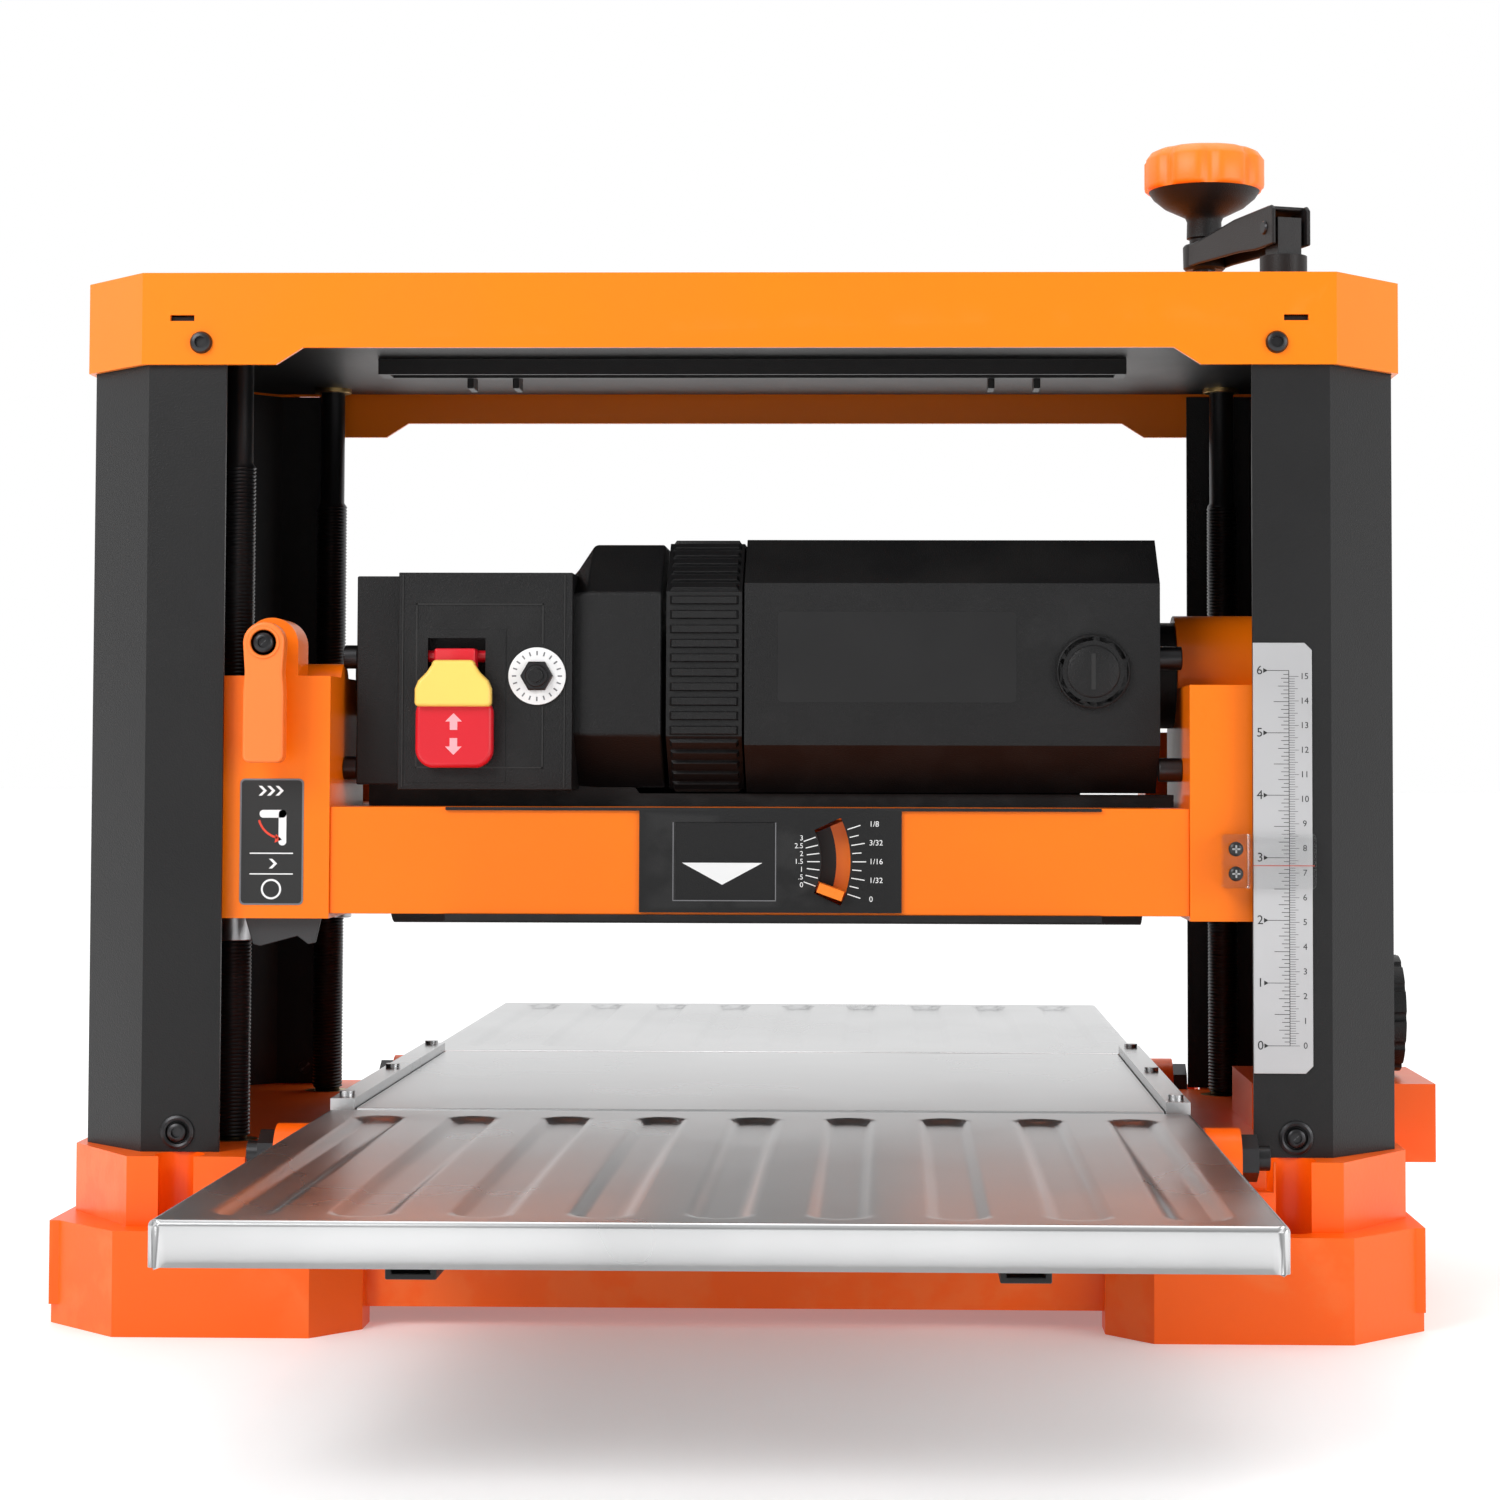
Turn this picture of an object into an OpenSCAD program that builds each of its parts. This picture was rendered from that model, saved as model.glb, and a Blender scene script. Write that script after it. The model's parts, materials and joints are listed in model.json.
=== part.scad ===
// Thirteen-inch bench-top thickness planer.
// Millimetres, +Z up. The origin is the middle of the base where it rests on the bench.
// Stock is fed from the front (-Y) to the rear (+Y); left and right are as seen from the front.

/* [Frame] */
// Width of the base between its lower skirts
base_w = 560; // [556:1:566]
// Depth of the base over its front and rear feet
base_d = 342; // [336:2:348]
// Height of the base skirt
skirt_h = 42; // [38:1:46]
// Height of the shoulders that carry the columns
shoulder_h = 70; // [68:1:72]
// Width over the two column covers
column_w = 546; // [542:1:548]
// Depth of the column covers
column_d = 283; // [281:1:285]
// Clear width between the column covers
column_gap = 422; // [418:1:424]
// Height of the underside of the top cover at its corners
cover_bottom = 393; // [390:1:395]
// Height of the top of the top cover
cover_top = 431; // [429:1:436]

/* [Tables] */
// Offset of the bed from the middle of the base
bed_x = 10; // [8:1:12]
// Planing width of the bed
bed_w = 330; // [326:1:330]
// Length of the bed plate
bed_l = 263; // [260:1:264]
// Height of the bed surface
bed_z = 88; // [88:1:89]
// Width of the folding tables
table_w = 352; // [340:1:354]
// Length of the folding tables
table_l = 316; // [300:1:318]
// Depth of the lip round the folding tables
lip_h = 15; // [12:1:16]
// Channels pressed into each folding table
channel_n = 9; // [7:1:10]

/* [Carriage] */
// Height of the cutting circle above the bed
cut_h = 73; // [73:0.5:74]
// Diameter of the cutting circle
cut_d = 48; // [47:0.5:48]
// Diameter of the feed rollers
roller_d = 35; // [33:1:36]
// Number of knives
knife_n = 3; // [2:1:3]
// Diameter of the four lifting screws
screw_d = 14; // [12:1:14]

/* [Crank] */
// Diameter of the crank knob
knob_d = 54; // [48:1:56]
// Height of the top of the crank knob
knob_top = 506; // [500:1:512]

/* [Hidden] */
$fn = 48;

orange = [1, 0.45, 0.02];
black = [0.16, 0.16, 0.17];
steel = [0.7, 0.71, 0.73];
plastic = [0.2, 0.2, 0.21];
sheet = 2;

// Bench bolts, foot pads and column bolts, as half spacings
bench_x = 225;
bench_y = 150;
bench_hole_r = 5;
bench_recess_r = 10;
pad_x = 190;
pad_y = 152;
pad_half = 10;
pad_h = 4;
column_bolt_x = 228;

// Half sizes and the planes that the pieces share
hw = base_w / 2;
hd = base_d / 2;
cw = column_w / 2;
cd = column_d / 2;
cg = column_gap / 2;
chamfer_x = 30;
chamfer_y = 32;
bed_l_edge = bed_x - bed_w / 2;
bed_r_edge = bed_x + bed_w / 2;
bed_y = -9;
bed_front = bed_y - bed_l / 2;
bed_rear = bed_y + bed_l / 2;
bed_t = 8;
hinge_z = bed_z - 16;
hinge_reach = 19.5;
infeed_hinge = bed_front - hinge_reach;
outfeed_hinge = bed_rear + hinge_reach;
table_gap = 4;
lug_w = 14;
lug_x = table_w / 2 + 3;
lug_r = 12;
hinge_r = 5;
boss_half = 40;
boss_top = 90;

// Lifting screws: front left, rear left, rear right, front right
screw_xy = [[-215, -95], [-211, 108], [225, 108], [230, -95]];
screw_bottom = 19;
screw_top = 418;
thread_top = 355;
bush_r = 11;
top_bush_r = 9;
sprocket_r = 18;
sprocket_teeth = 15;
chain_z = 20;
chain_h = 7;

// Top cover and the plate under it
cover_lip = 2.6;
cover_x = cw + cover_lip;
cover_y = cd + cover_lip;
cover_screw_x = 221;
cover_screw_z = 402;
top_plate_z = 413;
top_plate_t = 3;

// Stop dial on the right column
dial_z = 118;
dial_r = 26;
dial_grips = 12;
dial_pin_r = 6.25;

// Carriage planes at the height shown, from the cutting circle up
cut_z = bed_z + cut_h;
head_y = bed_y;
head_r = cut_d / 2;
head_z = cut_z + head_r;
roller_r = roller_d / 2;
roller_z = cut_z - 0.7 + roller_r;
roller_dy = 58;
beam_bottom = cut_z + 6;
beam_top = cut_z + 50;
case_bottom = cut_z + 4;
case_top = cut_z + 104;
left_in = -168;
left_out = -232;
right_in = 186;
right_out = 244;
case_front = -134.5;
case_rear = 134;
beam_y = -133;
beam_t = 36;
rear_beam_y = 76;

// Motor axis and section
motor_y = -56;
motor_z = cut_z + 107;
motor_front = 55;
motor_up = 57;
motor_down = 51;

// Bores shared by the castings and what runs in them
nut_r = 11;
nut_h = 35;
bearing_r = 13;
block_r = 10;
head_shaft_r = 8;
roller_shaft_r = 7;
wall_x = [[-176, left_in], [right_in, 194]];
lever_x = -192.5;
lever_z = case_top + 13;
lever_shaft_r = 4;
lever_r = 8.6;

function clipped(x, y, cx, cy) = [
    [-x + cx, -y], [x - cx, -y], [x, -y + cy], [x, y - cy],
    [x - cx, y], [-x + cx, y], [-x, y - cy], [-x, -y + cy]];

// A block between two corners
module block(x, y, z) {
    translate([x[0], y[0], z[0]]) cube([x[1] - x[0], y[1] - y[0], z[1] - z[0]]);
}

// Round bars along each axis, from one end to the other
module bar_x(r, x, y, z) {
    translate([x[0], y, z]) rotate([0, 90, 0]) cylinder(r = r, h = x[1] - x[0]);
}

module bar_y(r, x, y, z) {
    translate([x, y[1], z]) rotate([90, 0, 0]) cylinder(r = r, h = y[1] - y[0]);
}

module bar_z(r, x, y, z) {
    translate([x, y, z[0]]) cylinder(r = r, h = z[1] - z[0]);
}

// A section drawn in Y and Z, run along X
module run_x(x) {
    translate([x[0], 0, 0]) rotate([90, 0, 90]) linear_extrude(x[1] - x[0]) children();
}

// A section drawn in X and Z, run along Y
module run_y(y) {
    translate([0, y[1], 0]) rotate([90, 0, 0]) linear_extrude(y[1] - y[0]) children();
}

// A gear or sprocket blank with square teeth, lying flat
module toothed(r, h, teeth, tooth = 2) {
    cylinder(r = r - tooth, h = h);
    for (i = [0 : teeth - 1])
        rotate(i * 360 / teeth)
            translate([r - tooth - 0.5, -r * 0.9 / teeth, 0]) cube([tooth + 0.5, r * 1.8 / teeth, h]);
}

// ---- Base and frame ----

module foot(side) {
    mirror([side < 0 ? 1 : 0, 0, 0])
        linear_extrude(skirt_h)
            polygon([[168, -hd], [hw - 33, -hd], [hw, -hd + 33], [hw, -100], [150, -100], [150, -150]]);
}

module shoulder(side) {
    mirror([side < 0 ? 1 : 0, 0, 0])
        linear_extrude(shoulder_h)
            polygon([[190, -157], [245, -157], [hw - 3, -112], [hw - 3, 112], [245, 157], [190, 157]]);
}

// Four square pads, and the pockets they sit in
module pads(low) {
    for (x = [-pad_x, pad_x])
        for (y = [-pad_y, pad_y])
            block([x - pad_half, x + pad_half], [y - pad_half, y + pad_half], [low, pad_h]);
}

module base_casting() {
    color(orange) difference() {
        union() {
            block([-hw, hw], [-142, 142], [8, skirt_h]);
            for (side = [-1, 1]) {
                foot(side);
                mirror([0, 1, 0]) foot(side);
                shoulder(side);
            }
            block([222, 302], [-boss_half, boss_half], [56, boss_top]);
            block([bed_l_edge + 6, bed_r_edge - 6], [bed_front + 16, bed_rear - 16], [8, bed_z - bed_t]);
            for (side = [-1, 1])
                for (y = [infeed_hinge, outfeed_hinge]) {
                    lug = bed_x + side * (lug_x + lug_w / 2);
                    block([lug - lug_w / 2, lug + lug_w / 2], [y - lug_r, y + lug_r], [36, hinge_z]);
                    bar_x(lug_r, [lug - lug_w / 2, lug + lug_w / 2], y, hinge_z);
                }
        }
        block([-262, 262], [-132, 132], [-1, 34]);
        block([bed_l_edge + 14, bed_r_edge - 14], [bed_front + 24, bed_rear - 24], [33, bed_z - bed_t - 8]);
        for (p = screw_xy) bar_z(bush_r, p[0], p[1], [30, shoulder_h + 1]);
        for (side = [-1, 1])
            for (y = [infeed_hinge, outfeed_hinge]) {
                lug = bed_x + side * (lug_x + lug_w / 2);
                bar_x(hinge_r + 0.05, [lug - lug_w, lug + lug_w], y, hinge_z);
            }
        for (side = [-1, 1])
            for (y = [infeed_hinge, outfeed_hinge]) {
                near = bed_x + side * (lug_x + lug_w);
                far = near + side * 14;
                block([min(near, far), max(near, far)], [y - 11.5, y + 11.5], [hinge_z - 14, hinge_z + 20]);
            }
        pads(-1);
        for (x = [-bench_x, bench_x])
            for (y = [-bench_y, bench_y]) {
                bar_z(bench_hole_r, x, y, [-1, 50]);
                bar_z(bench_recess_r, x, y, [12, shoulder_h + 1]);
            }
    }
}

module foot_pads() color(black) pads(0);

module bed_plate() {
    color(steel) difference() {
        block([bed_l_edge, bed_r_edge], [bed_front, bed_rear], [bed_z - bed_t, bed_z]);
        for (y = [bed_front - 1, bed_rear + 1]) bar_x(2.4, [bed_l_edge - 1, bed_r_edge + 1], y, bed_z);
    }
}

module bed_guides() {
    color(steel)
        for (side = [-1, 1]) {
            edge = bed_x + side * (bed_w / 2 + 5.5);
            block([edge - 5, edge + 5], [bed_front, bed_rear], [bed_z - bed_t, bed_z + 4]);
            for (y = [bed_front + 12, bed_y, bed_rear - 12])
                bar_z(3.2, edge, y, [bed_z + 4, bed_z + 6]);
        }
}

module column(side) {
    outer = [[cg, -cd], [cw - chamfer_x, -cd], [cw, -cd + chamfer_y],
        [cw, cd - chamfer_y], [cw - chamfer_x, cd], [cg, cd]];
    inner = [[cg - 1, -cd + sheet], [cw - chamfer_x - 1, -cd + sheet], [cw - sheet, -cd + chamfer_y + 1],
        [cw - sheet, cd - chamfer_y - 1], [cw - chamfer_x - 1, cd - sheet], [cg - 1, cd - sheet]];
    color(black) mirror([side < 0 ? 1 : 0, 0, 0]) difference() {
        translate([0, 0, shoulder_h]) linear_extrude(cover_bottom + 20 - shoulder_h)
            difference() {
                polygon(outer);
                polygon(inner);
            }
        if (side > 0) block([260, 280], [-boss_half - 0.5, boss_half + 0.5], [60, boss_top + 0.5]);
        for (y = [-cd, cd]) bar_y(3.1, column_bolt_x, [y - 5, y + 5], shoulder_h + 8);
        if (side > 0) bar_x(dial_pin_r + 0.05, [260, 280], 0, dial_z);
    }
}

module left_column() column(-1);
module right_column() column(1);

module column_bolts() {
    color([0.1, 0.1, 0.1])
        for (side = [-1, 1])
            for (end = [-1, 1])
                mirror([0, end > 0 ? 1 : 0, 0]) translate([side * column_bolt_x, 0, shoulder_h + 8]) {
                    bar_y(3, 0, [-cd - 1, -cd + 14], 0);
                    difference() {
                        bar_y(7, 0, [-cd - 4, -cd], 0);
                        translate([0, -cd - 2, 0]) rotate([90, 0, 0]) cylinder(r = 2.3, h = 4, $fn = 6);
                    }
                }
}

module top_cover() {
    color(orange) difference() {
        translate([0, 0, cover_bottom]) linear_extrude(cover_top - cover_bottom)
            polygon(clipped(cover_x, cover_y, chamfer_x, chamfer_y));
        translate([0, 0, cover_bottom - 1]) linear_extrude(cover_top - cover_bottom - 1.5)
            polygon(clipped(cover_x - 2.4, cover_y - 2.4, chamfer_x - 1, chamfer_y - 1));
        run_y([-cover_y - 5, cover_y + 5])
            polygon([[-190.5, cover_bottom - 1], [-190, cover_bottom], [-179, cover_bottom + 7],
                [179, cover_bottom + 7], [190, cover_bottom], [190.5, cover_bottom - 1]]);
        bar_z(10.5, screw_xy[3][0], screw_xy[3][1], [cover_top - 5, cover_top + 1]);
        for (side = [-1, 1])
            for (end = [-1, 1]) {
                hole_y = [end * cover_y - 5, end * cover_y + 5];
                block([side * 229 - 5, side * 229 + 5], hole_y, [411, 413.5]);
                bar_y(3.1, side * cover_screw_x, hole_y, cover_screw_z);
            }
    }
}

module cover_screws() {
    color([0.1, 0.1, 0.1]) {
        for (side = [-1, 1])
            for (end = [-1, 1])
                mirror([0, end > 0 ? 1 : 0, 0]) translate([side * cover_screw_x, 0, cover_screw_z]) {
                    bar_y(3, 0, [-cover_y - 1, -cover_y + 2.5], 0);
                    difference() {
                        bar_y(5, 0, [-cover_y - 3, -cover_y], 0);
                        translate([0, -cover_y - 1, 0]) rotate([90, 0, 0]) cylinder(r = 2, h = 4, $fn = 6);
                    }
                }
        for (side = [-1, 1])
            for (y = [-60, 60]) bar_z(5, side * 245, y, [cover_top, cover_top + 2.4]);
        bar_z(5, -225, -95, [cover_top, cover_top + 2.4]);
    }
}

module top_plate() {
    color(black) difference() {
        union() {
            translate([0, 0, top_plate_z]) linear_extrude(top_plate_t) polygon(clipped(262, 128, 20, 20));
            block([-170, 170], [-8, 8], [top_plate_z - 7, top_plate_z]);
        }
        for (p = screw_xy) bar_z(top_bush_r + 0.05, p[0], p[1], [400, 420]);
        block([-165, 165], [-5.5, 5.5], [400, top_plate_z + 0.01]);
    }
}

module tool_clips() {
    color(black)
        for (x = [-120, 120]) {
            block([x - 9, x + 9], [12, 28], [top_plate_z - 5, top_plate_z]);
            block([x - 12, x - 9], [12, 28], [top_plate_z - 11, top_plate_z]);
            block([x + 9, x + 12], [12, 28], [top_plate_z - 11, top_plate_z]);
        }
}

module depth_scale() {
    color(steel)
        run_y([-cd - 1, -cd])
            polygon([[cg, 104], [232, 104], [235, 107], [235, 276], [232, 279], [cg, 279]]);
}

module hinge_bolts() {
    color([0.15, 0.15, 0.16])
        for (side = [-1, 1])
            for (y = [infeed_hinge, outfeed_hinge])
                mirror([side < 0 ? 1 : 0, 0, 0]) {
                    lug = side * bed_x + lug_x;
                    bar_x(hinge_r, [lug - 12, lug + lug_w + (y < 0 ? 12 : 7.4)], y, hinge_z);
                    translate([lug + lug_w, y, hinge_z]) rotate([0, 90, 0]) cylinder(r = 9.5, h = 7, $fn = 6);
                }
}

module screw_bushes() {
    color([0.72, 0.6, 0.3])
        for (p = screw_xy) {
            difference() {
                bar_z(bush_r, p[0], p[1], [34, shoulder_h]);
                bar_z(screw_d / 2 - 0.95, p[0], p[1], [30, shoulder_h + 1]);
            }
            difference() {
                bar_z(top_bush_r, p[0], p[1], [411, screw_top]);
                bar_z(screw_d / 2 - 0.95, p[0], p[1], [400, 420]);
            }
        }
}

// Outline that wraps the four sprockets
module chain_outline(r) {
    hull() for (p = screw_xy) translate(p) circle(r = r);
}

module lift_chain() {
    color([0.35, 0.35, 0.36]) translate([0, 0, chain_z]) linear_extrude(chain_h) difference() {
        chain_outline(sprocket_r + 4.4);
        chain_outline(sprocket_r + 0.4);
    }
}

// The stepped stop for finished thickness, turned from outside the right column
module depth_stop_dial() {
    color(black) {
        difference() {
            bar_x(dial_r, [cw + 0.5, cw + 19], 0, dial_z);
            for (i = [1 : dial_grips])
                translate([cw + 4, 0, dial_z]) rotate([i * 360 / dial_grips, 0, 0])
                    bar_x(2.5, [0, 20], dial_r + 1, 0);
        }
        bar_x(dial_pin_r, [cw - 18, cw + 1], 0, dial_z);
        bar_x(20, [cw - 18, cw - 10], 0, dial_z);
    }
}

// ---- Folding tables ----

// Planes of a table measured from its hinge axis
table_t = 2.5;
rise = bed_z - hinge_z;
inner = hinge_reach - table_gap;
end = table_l - inner;
nose_r = 8;
nose_y = inner - nose_r;
nose_z = rise - nose_r;
brace_x = 95;

// Section through a table from its hinge outwards, drawn about the hinge axis
module table_section() {
    difference() {
        union() {
            translate([nose_y, nose_z]) circle(r = nose_r);
            polygon([[nose_y, rise], [-end + 3, rise], [-end, rise - 3], [-end, rise - lip_h],
                [-end + table_t, rise - lip_h], [-end + table_t, rise - table_t], [nose_y, rise - table_t]]);
        }
        translate([nose_y, nose_z]) circle(r = nose_r - table_t);
        translate([nose_y - 22, rise - 20]) square([22, 20 - table_t]);
        translate([nose_y - 12, rise - 20]) square([30, 12]);
    }
}

module folding_table() {
    color(steel) difference() {
        union() {
            run_x([-table_w / 2, table_w / 2]) table_section();
            for (side = [-1, 1]) {
                lip_x = side * (table_w - table_t) / 2;
                lip = [lip_x - table_t / 2, lip_x + table_t / 2];
                block(lip, [-end, -12], [rise - lip_h, rise]);
                block(lip, [-14, nose_y], [-8, rise]);
                bar_x(8, lip, 0, 0);
            }
            for (x = [-brace_x, brace_x])
                difference() {
                    block([x - 8, x + 8], [-end + 8, -20], [rise - 19, rise - 2]);
                    block([x - 6, x + 6], [-end + 7, -19], [rise - 17, rise - 1.99]);
                }
        }
        bar_x(hinge_r + 0.06, [-table_w, table_w], 0, 0);
        pitch = (table_w - 16) / channel_n;
        for (i = [0 : channel_n - 1]) {
            x = (i - (channel_n - 1) / 2) * pitch;
            block([x - 9, x + 9], [-end + 26, -34], [rise - 0.8, rise + 1]);
            for (y = [-end + 26, -34]) bar_z(9, x, y, [rise - 0.8, rise + 1]);
        }
    }
}

module infeed_table() translate([bed_x, infeed_hinge, hinge_z]) folding_table();
module outfeed_table() translate([bed_x, outfeed_hinge, hinge_z]) mirror([0, 1, 0]) folding_table();

// ---- Lifting screws and crank ----

module lifting_screw(i) {
    p = screw_xy[i];
    r = screw_d / 2;
    color([0.45, 0.45, 0.47]) {
        bar_z(r - 1, p[0], p[1], [screw_bottom, screw_top]);
        bar_z(r, p[0], p[1], [shoulder_h + 1, thread_top]);
        for (n = [0 : 23]) bar_z(r + 0.5, p[0], p[1], [90 + n * 11, 91.5 + n * 11]);
        translate([p[0], p[1], chain_z]) toothed(sprocket_r, chain_h, sprocket_teeth);
    }
}

module front_left_screw() lifting_screw(0);
module rear_left_screw() lifting_screw(1);
module rear_right_screw() lifting_screw(2);
module front_right_screw() {
    p = screw_xy[3];
    lifting_screw(3);
    color([0.45, 0.45, 0.47]) bar_z(screw_d / 2 - 1, p[0], p[1], [screw_top - 1, cover_top + 9]);
}

knob_xy = [204, -20];
arm_half = 9;
arm_slot = 6;
stud_r = 4.5;
pivot_r = 3;
crank_swing = atan2(knob_xy[1] - screw_xy[3][1], knob_xy[0] - screw_xy[3][0]);
crank_reach = norm([knob_xy[0] - screw_xy[3][0], knob_xy[1] - screw_xy[3][1]]);
fold_z = cover_top + 26;

// Places children at the hub with +X along the arm
module on_crank() {
    translate([screw_xy[3][0], screw_xy[3][1], 0]) rotate(crank_swing) children();
}

module crank_hub() {
    color(black) on_crank() {
        difference() {
            union() {
                bar_z(10, 0, 0, [cover_top + 1, cover_top + 14]);
                block([-6, 6], [-5.5, 5.5], [cover_top + 13, fold_z + 4]);
            }
            bar_z(screw_d / 2 - 1, 0, 0, [cover_top, cover_top + 9]);
            bar_y(pivot_r + 0.05, 0, [-10, 10], fold_z);
        }
    }
}

module crank_arm() {
    color(black) on_crank() {
        difference() {
            block([-7, crank_reach + arm_half], [-arm_half, arm_half], [fold_z - 7, fold_z + 7]);
            block([-11, crank_reach - 10], [-arm_slot, arm_slot], [fold_z - 8, fold_z + 4.5]);
            block([-11, 10], [-arm_slot, arm_slot], [fold_z - 8, fold_z + 8]);
        }
        bar_y(pivot_r, 0, [-arm_half, arm_half], fold_z);
        bar_z(stud_r, crank_reach, 0, [fold_z + 7, knob_top - 6]);
        bar_z(5, crank_reach, 0, [fold_z - 9, fold_z - 7]);
    }
}

module crank_knob() {
    r = knob_d / 2;
    color(orange) translate([knob_xy[0], knob_xy[1], 0]) difference() {
        rotate_extrude()
            polygon([[stud_r + 0.05, fold_z + 8], [7, fold_z + 8], [7, knob_top - 40], [r * 0.45, knob_top - 36],
                [r - 4, knob_top - 25], [r, knob_top - 22], [r, knob_top - 5], [r - 5, knob_top],
                [0, knob_top], [0, knob_top - 5.5], [stud_r + 0.05, knob_top - 5.5]]);
        for (i = [0 : 7])
            rotate(i * 45) bar_z(5, r + 3, 0, [knob_top - 30, knob_top + 1]);
    }
}

// ---- Carriage castings ----

// Holes for the lifting screws and their nuts
module nut_holes(pair) {
    for (p = pair) {
        bar_z(nut_r, p[0], p[1], [case_bottom - 1, case_bottom + nut_h + 1]);
        bar_z(9, p[0], p[1], [case_bottom, case_top + 40]);
    }
}

// Holes in the inner walls for the cutterhead bearings and the roller bushes
module wall_holes(x) {
    bar_x(bearing_r, x, head_y, head_z);
    for (side = [-1, 1]) bar_x(block_r, x, head_y + side * roller_dy, roller_z);
}

module gearbox_casting() {
    color(orange) difference() {
        union() {
            block([left_out, left_in], [case_front, case_rear], [case_bottom, beam_top]);
            block([left_out, left_in], [case_front, -52], [beam_top - 1, case_top]);
            block([left_out, left_in], [90, case_rear], [beam_top - 1, case_top - 20]);
            block([lever_x - 11, lever_x + 11], [case_front, -112], [case_top - 1, lever_z]);
            bar_y(11, lever_x, [case_front, -112], lever_z);
            bar_x(10, [left_in - 16, left_in], -100, case_top - 4);
        }
        block([left_out - 1, -176], [-84, 72], [case_bottom - 1, beam_top - 5]);
        wall_holes([-177, left_in + 1]);
        nut_holes([screw_xy[0], screw_xy[1]]);
        bar_y(lever_shaft_r + 0.05, lever_x, [case_front - 1, -120], lever_z);
    }
}

module belt_casting() {
    color(orange) difference() {
        union() {
            block([right_in, right_out], [case_front, case_rear], [case_bottom, beam_top]);
            block([right_in, right_out], [case_front, -30], [beam_top - 1, case_top - 3]);
            block([right_in, right_out], [90, case_rear], [beam_top - 1, case_top - 20]);
            bar_x(26, [right_in, 236], motor_y, motor_z);
        }
        run_x([194, right_out + 1]) hull() {
            translate([head_y, head_z]) circle(r = 18.5);
            translate([motor_y, motor_z]) circle(r = 14);
        }
        bar_x(9, [right_in - 1, 195], motor_y, motor_z);
        wall_holes([right_in - 1, 195]);
        nut_holes([screw_xy[2], screw_xy[3]]);
    }
}

module gearbox_cover() {
    color(black) block([left_out - 2.5, left_out], [-90, 78], [case_bottom + 1, beam_top - 1]);
}

module belt_cover() {
    color(black) run_x([right_out, right_out + 2.5]) hull() {
        translate([head_y, head_z]) circle(r = 19.5);
        translate([motor_y, motor_z - 4]) circle(r = 18);
    }
}

module lift_nuts() {
    color([0.75, 0.72, 0.65])
        for (p = screw_xy)
            difference() {
                bar_z(nut_r, p[0], p[1], [case_bottom - 11, case_bottom + nut_h]);
                bar_z(screw_d / 2 + 0.58, p[0], p[1], [case_bottom - 12, case_bottom + nut_h + 1]);
            }
}

module cross_beam(y) {
    difference() {
        block([left_in, right_in], [y[0], y[1]], [beam_bottom, beam_top]);
        block([left_in - 1, right_in + 1], [y[0] + 4, y[1] - 4], [beam_bottom - 1, beam_top - 5]);
    }
}

gauge_c = [5, beam_bottom + 22];
gauge_r = 36;
gauge_half = 6;
gauge_sweep = 20;

// Window that the gauge pointer travels in
module gauge_window(play) {
    intersection() {
        difference() {
            circle(r = gauge_r + gauge_half + play);
            circle(r = gauge_r - gauge_half - play);
        }
        polygon([[0, 0], [60, -28.5 - play], [60, 28.5 + play]]);
    }
}

module front_beam() {
    color(orange) difference() {
        cross_beam([beam_y, beam_y + beam_t]);
        run_y([beam_y - 1, beam_y + 5]) translate(gauge_c) gauge_window(1);
    }
}

module rear_beam() color(orange) cross_beam([rear_beam_y, rear_beam_y + beam_t]);

module gauge_plate() {
    color(black) difference() {
        union() {
            block([-40, 68], [beam_y - 1.5, beam_y], [beam_bottom + 1, beam_top - 1]);
            block([-120, 150], [beam_y + 6, beam_y + 30], [beam_bottom - 3, beam_bottom]);
        }
        run_y([beam_y - 3, beam_y + 5]) translate(gauge_c) gauge_window(0);
        block([-25, 16], [beam_y - 2, beam_y - 1], [beam_bottom + 6, beam_top - 6]);
    }
}

module gauge_pointer() {
    color([1, 0.35, 0.05]) translate([gauge_c[0], 0, gauge_c[1]]) rotate([0, gauge_sweep, 0]) {
        block([-5, gauge_r + gauge_half], [beam_y + 5, beam_y + 7.5], [-2, 2]);
        block([gauge_r - gauge_half + 0.6, gauge_r + gauge_half - 0.6], [beam_y - 6, beam_y + 5.5], [-2, 2]);
        bar_y(5, 0, [beam_y + 5, beam_y + 10], 0);
    }
}

module scale_lens() {
    screw_x = 203.5;
    lens_z = [cut_z + 18, cut_z + 40];
    color([0.85, 0.9, 0.92, 0.5]) {
        block([198.5, 236], [-146, -144.2], lens_z);
        block([198.5, 209.5], [-144.3, case_front], lens_z);
    }
    color(black)
        for (z = [cut_z + 24, cut_z + 34]) bar_y(3, screw_x, [-147.5, -146], z);
}

module speed_lever() {
    color([1, 0.42, 0.2]) {
        bar_y(lever_shaft_r, lever_x, [-144, -121], lever_z);
        bar_y(lever_r, lever_x, [-152, -143.6], lever_z);
        block([lever_x - 8.5, lever_x + 8.5], [-152, -143.6], [lever_z - 49, lever_z - 12]);
        block([lever_x - 5, lever_x + 5], [-150, -143.6], [lever_z - 14, lever_z]);
    }
}

// ---- Motor and switch ----

module motor_section(shrink) {
    top = motor_z + motor_up - shrink;
    low = motor_z - motor_down + shrink;
    front = motor_y - motor_front + shrink;
    back = motor_y + motor_front - shrink;
    polygon([[front, low + 20], [front + 24, low], [back - 24, low], [back, low + 20],
        [back, top - 20], [back - 26, top], [front + 26, top], [front, top - 20]]);
}

// A length of motor casing with a round bore
module casing(x, shrink, bore) {
    difference() {
        run_x(x) motor_section(shrink);
        bar_x(bore, [x[0] - 1, x[1] + 1], motor_y, motor_z);
    }
}

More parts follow.
